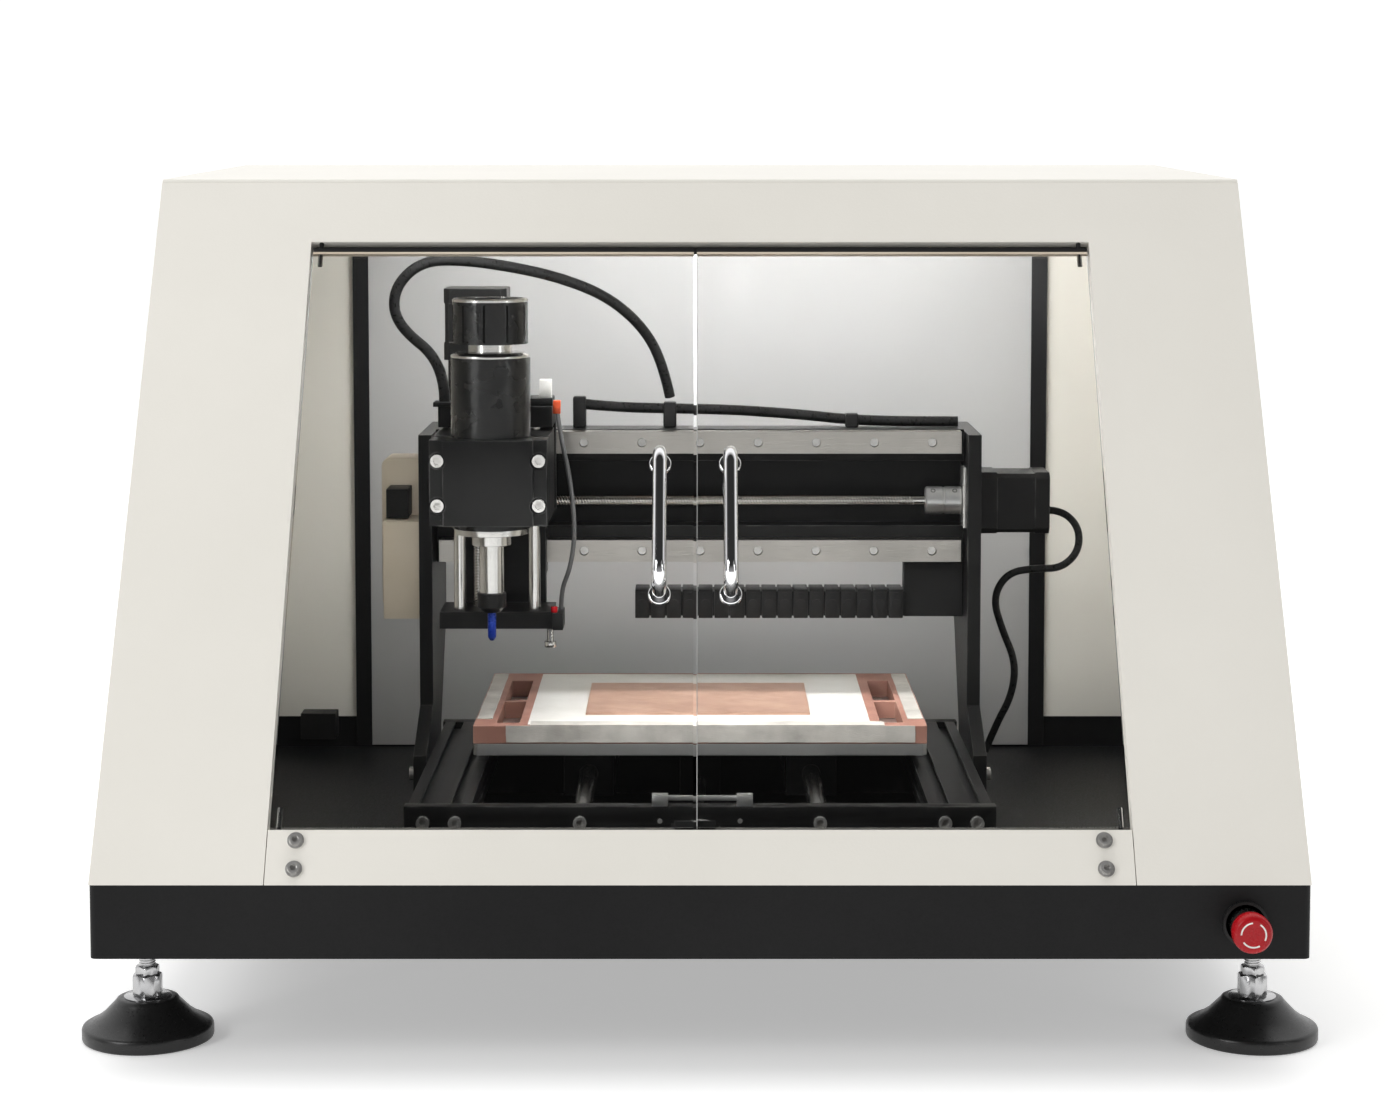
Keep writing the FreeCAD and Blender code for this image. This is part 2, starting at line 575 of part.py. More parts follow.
# ---------------------------------------------------------------- machine frame
def make_bed():
    inner = BED_HALF - PROFILE_WIDTH
    low = BED_TOP - PROFILE_HEIGHT
    start, end = BED_FRONT + BED_PLATE, BED_REAR - BED_PLATE
    rail = box(inner, BED_HALF, start, end, low, BED_TOP)
    bores = [inner + SLOT_PITCH / 2, inner + 3 * SLOT_PITCH / 2]
    mid = (low + BED_TOP) / 2
    for x in bores:
        rail = rail.cut(long_rod(BORE_RADIUS, x, start, end, mid))
        for z, step in ((BED_TOP, -1), (low, 1)):
            rail = rail.cut(t_slot(x, z, step, start, end))
    side_slot = box(inner, inner + SLOT_DEPTH, start, end, mid - SLOT_WIDTH / 2, mid + SLOT_WIDTH / 2)
    rail = rail.cut(side_slot)
    save("bed_extrusions", *both_sides(rail.removeSplitter()))

    half = BED_PLATE_HALF
    front = box(-half, half, BED_FRONT, start, TRAY_FLOOR, BED_TOP)
    back = box(-half, half, end, BED_REAR, TRAY_FLOOR, BED_TOP)
    front = front.cut(long_rod(15, 0, BED_FRONT, start, Y_SCREW_Z))
    back = back.cut(long_rod(11, 0, end, BED_REAR, Y_SCREW_Z))
    for x in (-ROD_X, ROD_X):
        front = front.cut(long_rod(ROD_RADIUS, x, start - 6, start, ROD_Z))
        front = front.cut(long_rod(2.5, x, BED_FRONT, start - 6, ROD_Z))
        back = back.cut(long_rod(ROD_RADIUS, x, end, end + 6, ROD_Z))
    for x in bores:
        for side in (-1, 1):
            front = front.cut(long_rod(BORE_RADIUS, side * x, BED_FRONT, start, mid))
    bar = box(-27, 27, BED_FRONT + 3, BED_FRONT + 6, BED_TOP + 3, BED_TOP + 6)
    ends = [box(x - 5, x + 5, BED_FRONT, BED_FRONT + 8, BED_TOP, BED_TOP + 7) for x in (-25, 28)]
    save("bed_end_plates", front, back, joined([bar] + ends))

    rods = [long_rod(ROD_RADIUS, x, start - 6, end + 6, ROD_Z) for x in (-ROD_X, ROD_X)]
    save("y_guide_rods", *rods)
    return bores, mid, start, end


def t_slot(x, z, step, start, end):
    """One slot of an extrusion's top or bottom face: a narrow mouth over a wider channel."""
    mouth, channel = 2.0, SLOT_DEPTH
    lips = sorted((z, z + step * mouth))
    inside = sorted((z + step * mouth, z + step * channel))
    half = SLOT_WIDTH / 2
    return box(x - half, x + half, start, end, *lips).fuse(
        box(x - half - 2, x + half + 2, start, end, *inside))


def make_screw_bearings(end):
    front = long_rod(19.3, 0, BED_FRONT - 4, BED_FRONT, Y_SCREW_Z)
    front = front.fuse(long_rod(15, 0, BED_FRONT, BED_FRONT + BED_PLATE, Y_SCREW_Z))
    front = front.cut(long_rod(15.5, 0, BED_FRONT - 4, BED_FRONT - 1, Y_SCREW_Z))
    bore = SCREW_RADIUS + RUNNING_FIT
    front = front.cut(long_rod(bore, 0, BED_FRONT - 4, BED_FRONT + BED_PLATE, Y_SCREW_Z))
    back = long_rod(11, 0, end, BED_REAR, Y_SCREW_Z).cut(long_rod(bore, 0, end, BED_REAR, Y_SCREW_Z))
    left = cross_rod(12, -BED_HALF, -BED_HALF + 7, X_SCREW_Y, X_SCREW_Z)
    left = left.cut(cross_rod(bore, -BED_HALF, -BED_HALF + 7, X_SCREW_Y, X_SCREW_Z))
    right = box(BED_HALF - 1.7, BED_HALF, X_SCREW_Y - 14, X_SCREW_Y + 14, X_SCREW_Z - 18, X_SCREW_Z + 24)
    right = right.cut(cross_rod(MOTOR_SHAFT_RADIUS + 1, BED_HALF - 2, BED_HALF, X_SCREW_Y, X_SCREW_Z))
    save("screw_bearings", front, back, left, right)


def screw(length, x, y, z0, shaft_end):
    """An upright lead screw with its coupling and the motor shaft above it."""
    top = z0 + length
    thread = upright_rod(SCREW_RADIUS, x, y, z0, top)
    coupling = upright_rod(COUPLING_RADIUS, x, y, top - COUPLING_LENGTH / 2, top + COUPLING_LENGTH / 2)
    shaft = upright_rod(MOTOR_SHAFT_RADIUS, x, y, top, shaft_end)
    return joined([thread, coupling, shaft])


def make_y_drive():
    coupling_start = BED_REAR + 2
    motor_face = BED_REAR + STANDOFF
    thread = long_rod(SCREW_RADIUS, 0, BED_FRONT - 0.5, coupling_start + 12, Y_SCREW_Z)
    coupling = long_rod(COUPLING_RADIUS, 0, coupling_start, coupling_start + COUPLING_LENGTH, Y_SCREW_Z)
    shaft = long_rod(MOTOR_SHAFT_RADIUS, 0, coupling_start + 12, motor_face + 4, Y_SCREW_Z)
    save("y_lead_screw", joined([thread, coupling, shaft]))
    body = pointing(motor(MOTOR_LENGTH), (0, -1, 0), (0, motor_face, Y_SCREW_Z))
    reach = MOTOR_HOLE_PITCH / 2
    posts = [long_rod(STANDOFF_RADIUS, x, BED_REAR, motor_face, Y_SCREW_Z + z)
             for x in (-reach, reach) for z in (-reach, reach)]
    save("y_motor", body, *posts)


def make_gantry(bores, mid):
    front_low, back_low = FRONT + 285, FRONT + 395
    front_top, back_top = FRONT + 335, FRONT + 442
    outline = [(front_low, UPRIGHT_BOTTOM), (back_low, UPRIGHT_BOTTOM), (back_low, 125), (back_top, 200),
               (back_top, UPRIGHT_TOP), (front_top, UPRIGHT_TOP), (front_top, 150), (front_low, 125)]
    right = prism(outline, BED_HALF, UPRIGHT_OUT)
    bolt_rows = (front_low + 15, FRONT + 384)
    for y in bolt_rows:
        right = right.cut(cross_rod(2.5, BED_HALF, UPRIGHT_OUT, y, mid))
    left = mirrored(right)
    right = right.cut(cross_rod(11, BED_HALF, UPRIGHT_OUT, X_SCREW_Y, X_SCREW_Z))
    save("gantry_uprights", left, right)

    beam = box(-BED_HALF, BED_HALF, BEAM_FRONT, BEAM_REAR, BEAM_BOTTOM, BEAM_TOP)
    recess = box(-BED_HALF, BED_HALF, BEAM_FRONT, BEAM_FRONT + RECESS_DEPTH, RECESS_BOTTOM, RECESS_TOP)
    back_groove = box(-BED_HALF, BED_HALF, BEAM_REAR - 6, BEAM_REAR, RECESS_BOTTOM, RECESS_TOP)
    save("x_beam", beam.cut(recess).cut(back_groove))

    rails, screws = [], []
    holes = [RAIL_HOLE_PITCH * n for n in range(-4, 5)]
    for z in (LOW_RAIL_Z, TOP_RAIL_Z):
        rail = box(-RAIL_HALF_LENGTH, RAIL_HALF_LENGTH, RAIL_FRONT, BEAM_FRONT, z - RAIL_WIDTH / 2,
                   z + RAIL_WIDTH / 2)
        for x in holes:
            rail = rail.cut(long_rod(3.2, x, RAIL_FRONT, RAIL_FRONT + 6, z))
            rail = rail.cut(long_rod(1.7, x, RAIL_FRONT, BEAM_FRONT, z))
            head = long_rod(2.9, x, RAIL_FRONT + 3, RAIL_FRONT + 6, z)
            screws.append(head.fuse(long_rod(1.7, x, RAIL_FRONT + 6, BEAM_FRONT, z)))
        rails.append(rail)
    save("x_rails", *rails)

    for x in bores:
        for side in (-1, 1):
            bolt = socket_bolt(4.25, 4, BORE_RADIUS, BED_PLATE + 8)
            screws.append(bolt.translated(Vector(side * x, BED_FRONT, mid)))
    for x in (-ROD_X, ROD_X):
        screws.append(socket_bolt(4.25, 4, 2.5, BED_PLATE - 6).translated(Vector(x, BED_FRONT, ROD_Z)))
    for x in (-25, 25):
        screws.append(long_rod(1.6, x, BED_FRONT - 1.2, BED_FRONT, ROD_Z + 1))
    for side in (-1, 1):
        for y in bolt_rows:
            screws.append(cross_rod(2.5, side * BED_HALF, side * UPRIGHT_OUT, y, mid)
                          .fuse(cross_rod(4.25, side * UPRIGHT_OUT, side * (UPRIGHT_OUT + 4), y, mid)))
        for height in PANEL_BOLT_HEIGHTS:
            bolt = socket_bolt(3.6, 3.6, 2, 2 * SHEET + 3, 4.9)
            screws.append(on_slope(bolt.translated(Vector(side * PANEL_BOLT_X, 0, height))))
    save("frame_bolts", *screws)


def make_x_drive():
    thread = cross_rod(SCREW_RADIUS, -BED_HALF + 0.5, COUPLING_START + 12, X_SCREW_Y, X_SCREW_Z)
    coupling = cross_rod(COUPLING_RADIUS, COUPLING_START, COUPLING_START + COUPLING_LENGTH, X_SCREW_Y, X_SCREW_Z)
    shaft = cross_rod(MOTOR_SHAFT_RADIUS, COUPLING_START + 12, UPRIGHT_OUT + 4, X_SCREW_Y, X_SCREW_Z)
    save("x_lead_screw", joined([thread, coupling, shaft]))
    save("x_motor", pointing(motor(MOTOR_LENGTH), (-1, 0, 0), (UPRIGHT_OUT, X_SCREW_Y, X_SCREW_Z)))


# ---------------------------------------------------------------- table
def make_table():
    half = TABLE_WIDTH / 2
    plate = box(-half, half, TABLE_FRONT, TABLE_REAR, TABLE_BOTTOM, BOARD_BOTTOM)
    plate = plate.makeChamfer(2.5, along_edges(plate, Vector(0, 0, 1)))
    save("table_plate", plate)

    board = box(-half, half, TABLE_FRONT, TABLE_REAR, BOARD_BOTTOM, BOARD_TOP)
    slots = []
    for side in (-1, 1):
        for start in (12, 94):
            inner, outer = sorted((side * (half - 30), side * (half - 15)))
            near = TABLE_FRONT + start
            slots.append(box(inner, outer, near, near + 76, BOARD_BOTTOM, BOARD_TOP))
    board = board.cut(Part.makeCompound(slots))
    save("spoilboard", board)

    tape = 0.4
    level = BOARD_TOP
    front_strip = box(-half + 22, half - 8, TABLE_FRONT - tape, TABLE_FRONT, BOARD_BOTTOM + 1, level)
    left_strip = box(-half + 1, -half + 11, TABLE_FRONT + 24, TABLE_REAR - 4, level, level + tape)
    sheet = box(-114, 113, TABLE_FRONT + 4, TABLE_REAR - 6, level, level + tape)
    save("tape_and_sheet", front_strip, left_strip, mirrored(left_strip), sheet)
    save("copper_blank", box(-77, 74, TABLE_FRONT + 36, TABLE_FRONT + 150, level + tape, level + tape + 1.6))

    blocks = []
    top, low = TABLE_BOTTOM, TABLE_BOTTOM - BLOCK_DROP
    for x in (-ROD_X, ROD_X):
        for setback in BLOCK_SETBACKS:
            y = FRONT + setback
            block = box(x - BLOCK_HALF_WIDTH, x + BLOCK_HALF_WIDTH, y, y + BLOCK_LENGTH, low, top)
            blocks.append(block.cut(long_rod(ROD_RADIUS + RUNNING_FIT, x, y, y + BLOCK_LENGTH, ROD_Z)))
    nut_y = FRONT + (BLOCK_SETBACKS[0] + BLOCK_SETBACKS[1]) / 2
    nut = box(-14, 14, nut_y, nut_y + BLOCK_LENGTH, Y_SCREW_Z - 12, top)
    nut = nut.cut(long_rod(SCREW_RADIUS + RUNNING_FIT, 0, nut_y, nut_y + BLOCK_LENGTH, Y_SCREW_Z))
    save("table_bearing_blocks", *blocks, nut)


# ---------------------------------------------------------------- carriage
def make_carriage():
    taper_top, taper_low = X_SCREW_Z - 3, X_SCREW_Z - 16
    waist = 31
    corners = [(-CARRIAGE_HALF, TOP_PLATE_BOTTOM), (CARRIAGE_HALF, TOP_PLATE_BOTTOM),
               (CARRIAGE_HALF, taper_top), (waist, taper_low), (waist, CARRIAGE_BOTTOM),
               (-waist, CARRIAGE_BOTTOM), (-waist, taper_low), (-CARRIAGE_HALF, taper_top)]
    points = [Vector(CARRIAGE_X + x, CARRIAGE_FRONT, z) for x, z in corners]
    plate = Part.Face(Part.makePolygon(points + points[:1])).extrude(Vector(0, CARRIAGE_PLATE, 0))
    reach = 13
    nut = box(CARRIAGE_X - reach, CARRIAGE_X + reach, CARRIAGE_REAR, X_SCREW_Y + 9, X_SCREW_Z - 9, X_SCREW_Z + 9)
    nut = nut.cut(cross_rod(SCREW_RADIUS + RUNNING_FIT, CARRIAGE_X - reach, CARRIAGE_X + reach,
                            X_SCREW_Y, X_SCREW_Z))
    save("x_carriage_plate", plate, nut)

    fit, wing = 0.1, 7.5
    blocks = []
    for z in (LOW_RAIL_Z, TOP_RAIL_Z):
        spans = [(CARRIAGE_LEFT + 2, CARRIAGE_X - 3), (CARRIAGE_X + 3, CARRIAGE_RIGHT - 2)]
        if z == LOW_RAIL_Z:
            spans = [(CARRIAGE_X - waist, CARRIAGE_X + waist)]
        for x0, x1 in spans:
            half = RAIL_WIDTH / 2
            block = box(x0, x1, CARRIAGE_REAR, BEAM_FRONT - 3, z - half - wing, z + half + wing)
            blocks.append(block.cut(box(x0, x1, RAIL_FRONT - fit, BEAM_FRONT, z - half - fit, z + half + fit)))
    save("x_rail_blocks", *blocks)

    rods = [upright_rod(Z_ROD_RADIUS, CARRIAGE_X + side * Z_ROD_OFFSET, Z_ROD_Y, CARRIAGE_BOTTOM + 2,
                        TOP_PLATE_TOP - 2) for side in (-1, 1)]
    save("z_guide_rods", *rods)

    low = box(CARRIAGE_LEFT, CARRIAGE_RIGHT, END_PLATE_FRONT, CARRIAGE_FRONT, CARRIAGE_BOTTOM, LOW_PLATE_TOP)
    high = box(CARRIAGE_LEFT, CARRIAGE_RIGHT, END_PLATE_FRONT, CARRIAGE_REAR, TOP_PLATE_BOTTOM, TOP_PLATE_TOP)
    for piece in rods:
        low, high = low.cut(piece), high.cut(piece)
    bore = SCREW_RADIUS + RUNNING_FIT
    low = low.cut(upright_rod(bore, Z_SCREW_X, Z_SCREW_Y, CARRIAGE_BOTTOM + 4, LOW_PLATE_TOP))
    high = high.cut(upright_rod(bore, Z_SCREW_X, Z_SCREW_Y, TOP_PLATE_BOTTOM, TOP_PLATE_TOP))
    save("z_end_plates", low, high)

    motor_face = TOP_PLATE_TOP + STANDOFF
    body = pointing(motor(MOTOR_LENGTH), (0, 0, -1), (Z_SCREW_X, Z_SCREW_Y, motor_face))
    hole = MOTOR_HOLE_PITCH / 2
    posts = [upright_rod(STANDOFF_RADIUS, Z_SCREW_X + dx, Z_SCREW_Y + dy, TOP_PLATE_TOP, motor_face)
             for dx in (-hole, hole) for dy in (-hole, hole)]
    save("z_motor", body, *posts)
    length = TOP_PLATE_TOP + 2 + COUPLING_LENGTH / 2 - (CARRIAGE_BOTTOM + 5)
    save("z_lead_screw", screw(length, Z_SCREW_X, Z_SCREW_Y, CARRIAGE_BOTTOM + 5, motor_face + 4))

    right = CARRIAGE_RIGHT
    switch = box(right, right + 7, END_PLATE_FRONT - 6, END_PLATE_FRONT + 22, CARRIAGE_BOTTOM, LOW_PLATE_TOP)
    lamp = upright_rod(2.2, right + 1, END_PLATE_FRONT - 2, LOW_PLATE_TOP, LOW_PLATE_TOP + 4)
    thumb = upright_rod(2.2, right - 2, END_PLATE_FRONT + 5, CARRIAGE_BOTTOM - 9, CARRIAGE_BOTTOM)
    thumb = thumb.fuse(upright_rod(4, right - 2, END_PLATE_FRONT + 5, CARRIAGE_BOTTOM - 13, CARRIAGE_BOTTOM - 9))
    block = box(right - 16, right, END_PLATE_FRONT + 4, END_PLATE_FRONT + 34, TOP_PLATE_TOP, TOP_PLATE_TOP + 5)
    plug = box(right - 9, right - 1, END_PLATE_FRONT + 8, END_PLATE_FRONT + 20, TOP_PLATE_TOP + 5, TOP_PLATE_TOP + 17)
    lever = box(right, right + 5, END_PLATE_FRONT + 12, END_PLATE_FRONT + 17, TOP_PLATE_TOP - 6, TOP_PLATE_TOP + 3)
    gland = box(CARRIAGE_LEFT - 3, CARRIAGE_LEFT + 11, END_PLATE_FRONT - 4, END_PLATE_FRONT + 14,
                TOP_PLATE_TOP, TOP_PLATE_TOP + 3)
    save("carriage_switches", switch, lamp, thumb, block, plug, lever, gland)


# ---------------------------------------------------------------- spindle
def make_spindle():
    bolts_z = (CLAMP_MIDDLE - CLAMP_BOLT_PITCH / 2, CLAMP_MIDDLE + CLAMP_BOLT_PITCH / 2)
    front = FRONT + CLAMP_FRONT
    step = 4.0
    hollow = upright_rod(SPINDLE_RADIUS, CARRIAGE_X, SPINDLE_Y, CLAMP_BOTTOM, CLAMP_TOP)
    cap = box(CARRIAGE_LEFT, CARRIAGE_RIGHT, front + step, SPINDLE_Y - CLAMP_SLIT, CLAMP_BOTTOM, CLAMP_TOP)
    cap = cap.fuse(box(CARRIAGE_X - 29, CARRIAGE_X + 29, front, front + step, CLAMP_BOTTOM, CLAMP_TOP))
    mount = box(CARRIAGE_LEFT, CARRIAGE_RIGHT, SPINDLE_Y, SPINDLE_Y + MOUNT_DEPTH, CLAMP_BOTTOM, CLAMP_TOP)
    nut = box(Z_SCREW_X - 10, Z_SCREW_X + 10, Z_SCREW_Y - 10, Z_SCREW_Y + 9, CLAMP_MIDDLE - 15, CLAMP_MIDDLE + 15)
    mount = mount.fuse(nut).cut(hollow)
    mount = mount.cut(upright_rod(SCREW_RADIUS + RUNNING_FIT, Z_SCREW_X, Z_SCREW_Y, CLAMP_BOTTOM, CLAMP_TOP))
    for side in (-1, 1):
        mount = mount.cut(upright_rod(Z_ROD_RADIUS + RUNNING_FIT, CARRIAGE_X + side * Z_ROD_OFFSET, Z_ROD_Y,
                                      CLAMP_BOTTOM, CLAMP_TOP))
    cap = cap.cut(hollow)
    bolts = []
    shank_end = SPINDLE_Y + 22
    for x in (CARRIAGE_X - CLAMP_BOLT_OFFSET, CARRIAGE_X + CLAMP_BOLT_OFFSET):
        for z in bolts_z:
            cap = cap.cut(long_rod(5.5, x, front - 1, front + step + 1, z))
            cap = cap.cut(long_rod(2.5, x, front, SPINDLE_Y, z))
            mount = mount.cut(long_rod(2.5, x, SPINDLE_Y, shank_end, z))
            bolt = socket_bolt(4.25, 4.2, 2.5, shank_end - front - step - 1)
            bolts.append(bolt.translated(Vector(x, front + step + 1, z)))
    save("clamp_cap", cap.removeSplitter())
    save("spindle_mount", mount.removeSplitter())
    save("clamp_bolts", *bolts)

    x, y = CARRIAGE_X, SPINDLE_Y
    wall = 3.0
    can = upright_rod(SPINDLE_RADIUS, x, y, SPINDLE_BOTTOM, SPINDLE_TOP)
    can = can.cut(upright_rod(SPINDLE_RADIUS - wall, x, y, SPINDLE_BOTTOM, SPINDLE_TOP))
    save("spindle_body", can)

    shaft_radius, pin_radius = 8.0, 5.0
    boss_bottom = SPINDLE_BOTTOM - 11.5
    bore, pin_bore = shaft_radius + RUNNING_FIT, pin_radius + RUNNING_FIT
    lower = turned([(bore, boss_bottom), (12.8, boss_bottom), (12.8, SPINDLE_BOTTOM - 4),
                    (24.3, SPINDLE_BOTTOM - 4), (24.3, SPINDLE_BOTTOM), (SPINDLE_RADIUS - wall, SPINDLE_BOTTOM),
                    (SPINDLE_RADIUS - wall, SPINDLE_BOTTOM + 6), (bore, SPINDLE_BOTTOM + 6)], x, y)
    neck_top = SPINDLE_TOP + 9
    upper = turned([(pin_bore, SPINDLE_TOP - 6), (SPINDLE_RADIUS - wall, SPINDLE_TOP - 6),
                    (SPINDLE_RADIUS - wall, SPINDLE_TOP), (SPINDLE_RADIUS, SPINDLE_TOP),
                    (SPINDLE_RADIUS, SPINDLE_TOP + 1.5), (SPINDLE_RADIUS - 4, SPINDLE_TOP + 3.5),
                    (14.5, SPINDLE_TOP + 3.5), (14.5, neck_top), (pin_bore, neck_top)], x, y)
    save("spindle_end_bells", lower, upper)

    top_radius, top_height = 24.6, 29.0
    motor_can = upright_rod(top_radius, x, y, neck_top, neck_top + top_height)
    motor_can = motor_can.cut(upright_rod(top_radius - 2, x, y, neck_top + top_height - 3, neck_top + top_height))
    motor_can = motor_can.cut(upright_rod(pin_bore + 2, x, y, neck_top, neck_top + 12))
    slot = box(x - 7, x - 5.6, y - top_radius, y - top_radius + 2.5, neck_top + 5, neck_top + top_height - 2)
    save("spindle_top_motor", motor_can.cut(slot))

    shaft_bottom = 240.0
    shaft = upright_rod(shaft_radius, x, y, shaft_bottom, SPINDLE_BOTTOM + 7)
    armature = upright_rod(20, x, y, SPINDLE_BOTTOM + 12, SPINDLE_TOP - 12)
    pin = upright_rod(pin_radius, x, y, SPINDLE_BOTTOM + 7, neck_top + 8)
    save("spindle_shaft", joined([shaft, armature, pin]))
    nut_bottom = shaft_bottom - 13
    shank_radius = 1.6
    collet = turned([(shank_radius, nut_bottom), (5.5, nut_bottom), (8.2, nut_bottom + 3), (9.5, nut_bottom + 3.5),
                     (9.5, shaft_bottom), (shank_radius, shaft_bottom)], x, y)
    save("collet_nut", collet)
    tip = nut_bottom - 19
    save("milling_bit", turned([(0, tip), (1.2, tip), (2.75, tip + 2.5), (2.75, nut_bottom), (shank_radius, nut_bottom),
                                (shank_radius, shaft_bottom - 1), (0, shaft_bottom - 1)], x, y))


# ---------------------------------------------------------------- wiring
def make_wiring():
    links = []
    for n in range(17):
        x = -45 + 11 * n
        links.append(box(x, x + 10.4, FRONT + 362, FRONT + 388, 206, 226))
        links.append(box(x + 10.4, x + 11, FRONT + 364, FRONT + 386, 208, 224))
    anchor = box(142, BED_HALF, BEAM_FRONT + 1, FRONT + 388, 206, BEAM_BOTTOM)
    save("cable_chain", joined(links), anchor)

    outside = -UPRIGHT_OUT
    case = box(outside - 30, outside - 3, FRONT + 380, FRONT + 412, 214, 316)
    case = case.makeFillet(6.0, [e for e in along_edges(case, Vector(0, 1, 0)) if e.CenterOfMass.z > 300])
    bracket = box(outside - 3, outside, FRONT + 385, FRONT + 407, 230, 300)
    cover = box(outside - 25, outside, FRONT + 340, FRONT + 380, 209, 276)
    plug = box(outside - 24, outside - 9, FRONT + 352, FRONT + 380, 277, 297)
    save("junction_box", case.fuse(bracket), cover, plug)

    loom = 3.7
    near = END_PLATE_FRONT + 5
    save("carriage_cable", cable([(-170.5, near, TOP_PLATE_TOP + 3), (-170.5, near, 388), (-203, near + 3, 413),
                                  (-205, near + 6, 437), (-187, near + 10, 455), (-161, near + 18, 456),
                                  (-128, near + 30, 451), (-95, near + 43, 443), (-64, near + 57, 430),
                                  (-40, near + 70, 409), (-26, near + 80, 383), (-21, near + 86, 358.5)],
                                 loom))
    over = FRONT + 387
    bundle = cable([(-88, over - 1, 354), (-62, over, 351), (-20, over, 350), (25, over + 1, 349),
                    (68, over + 1, 346), (106, over, 342), (146, over - 1, 341), (180, over - 1, 341)], loom)
    side = UPRIGHT_OUT + MOTOR_LENGTH
    behind = X_SCREW_Y
    motor_lead = cable([(side, behind, 281), (side + 11, behind, 281), (side + 23, behind, 269),
                        (side + 23, behind + 1, 252), (side + 11, behind + 2, 240), (side - 6, behind + 3, 240),
                        (side - 26, behind + 4, 237), (side - 36, behind + 6, 219), (side - 29, behind + 8, 196),
                        (side - 19, behind + 11, 173), (side - 21, behind + 14, 149), (side - 32, behind + 17, 127),
                        (side - 39, behind + 20, 108)], 2.6)
    save("frame_cables", bundle, motor_lead)
    edge = CARRIAGE_RIGHT
    save("switch_wire", cable([(edge + 2, near + 26, 352), (edge + 5, near + 22, 333), (edge + 10, near + 18, 312),
                               (edge + 13, near + 15, 290), (edge + 14, near + 12, 268), (edge + 11, near + 9, 248),
                               (edge + 5, near + 7, 234), (edge + 5, near + 7, LOW_PLATE_TOP)], 1.6))


make_tray()
make_feet()
make_hood()
make_lower_panel()
make_door_hardware()
half_gap = DOOR_SPLIT_GAP / 2
door_edge = HALF_WINDOW - DOOR_EDGE_GAP
make_door("left", -door_edge, DOOR_SPLIT_X - half_gap, DOOR_SPLIT_X - HANDLE_OFFSET, -1)
make_door("right", DOOR_SPLIT_X + half_gap, door_edge, DOOR_SPLIT_X + HANDLE_OFFSET, 1)
make_stop_button()
make_electronics()
bed_bores, bed_middle, plates_start, plates_end = make_bed()
make_screw_bearings(plates_end)
make_y_drive()
make_gantry(bed_bores, bed_middle)
make_x_drive()
make_table()
make_carriage()
make_spindle()
make_wiring()
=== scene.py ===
import json
import math

import bmesh
import bpy
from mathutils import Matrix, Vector

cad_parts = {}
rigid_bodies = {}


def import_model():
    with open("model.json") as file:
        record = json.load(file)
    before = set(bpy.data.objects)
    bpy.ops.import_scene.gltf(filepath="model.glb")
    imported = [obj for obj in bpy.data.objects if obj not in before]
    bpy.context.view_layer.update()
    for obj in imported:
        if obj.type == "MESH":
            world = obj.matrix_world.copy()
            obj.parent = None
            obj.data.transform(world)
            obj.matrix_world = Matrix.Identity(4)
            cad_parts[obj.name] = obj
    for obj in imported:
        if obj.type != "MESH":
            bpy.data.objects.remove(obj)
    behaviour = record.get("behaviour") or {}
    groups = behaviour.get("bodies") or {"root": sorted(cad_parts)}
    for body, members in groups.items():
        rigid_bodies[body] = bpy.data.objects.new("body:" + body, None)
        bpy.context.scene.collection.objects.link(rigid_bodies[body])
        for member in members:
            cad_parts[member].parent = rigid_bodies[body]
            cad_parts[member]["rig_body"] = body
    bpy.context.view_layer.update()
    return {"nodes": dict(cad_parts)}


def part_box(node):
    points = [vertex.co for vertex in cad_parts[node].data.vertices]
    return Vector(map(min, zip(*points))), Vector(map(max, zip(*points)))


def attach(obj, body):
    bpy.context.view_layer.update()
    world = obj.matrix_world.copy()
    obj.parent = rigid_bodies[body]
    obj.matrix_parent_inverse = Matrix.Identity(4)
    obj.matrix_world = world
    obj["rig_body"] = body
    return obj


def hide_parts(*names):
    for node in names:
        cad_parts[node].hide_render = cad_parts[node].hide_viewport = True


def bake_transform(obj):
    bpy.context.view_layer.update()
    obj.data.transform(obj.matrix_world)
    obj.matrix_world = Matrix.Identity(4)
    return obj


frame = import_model()
nodes = frame["nodes"]
mm = 0.001
# how a shape drawn upright is turned to lie along an axis
lieAlong = {"X": (0, math.pi / 2, 0), "Y": (-math.pi / 2, 0, 0), "-Y": (math.pi / 2, 0, 0), "Z": (0, 0, 0)}


# picking, editing and finishing
def pickOnly(piece):
    bpy.ops.object.select_all(action="DESELECT")
    piece.select_set(True)
    bpy.context.view_layer.objects.active = piece


def startEdit(piece, choose="SELECT"):
    pickOnly(piece)
    bpy.ops.object.mode_set(mode="EDIT")
    bpy.ops.mesh.select_mode(type="VERT")
    bpy.ops.mesh.select_all(action=choose)


def endEdit():
    bpy.ops.object.mode_set(mode="OBJECT")


def pickFaces(piece, wanted):
    # selects the faces whose middle and normal the test wants
    bpy.ops.mesh.select_mode(type="FACE")
    shape = bmesh.from_edit_mesh(piece.data)
    for face in shape.faces:
        face.select_set(wanted(face.calc_center_median(), face.normal))
    bmesh.update_edit_mesh(piece.data)


def applied(piece, kind, **settings):
    pickOnly(piece)
    modifier = piece.modifiers.new(kind.lower(), kind)
    for name, value in settings.items():
        setattr(modifier, name, value)
    bpy.ops.object.modifier_apply(modifier=modifier.name)


def rounded(piece, width, steps=2, angle=32):
    applied(piece, "BEVEL", width=width, segments=steps, limit_method="ANGLE",
            angle_limit=math.radians(angle), miter_outer="MITER_ARC")


def smooth(piece, angle=38):
    pickOnly(piece)
    bpy.ops.object.shade_smooth_by_angle(angle=math.radians(angle))


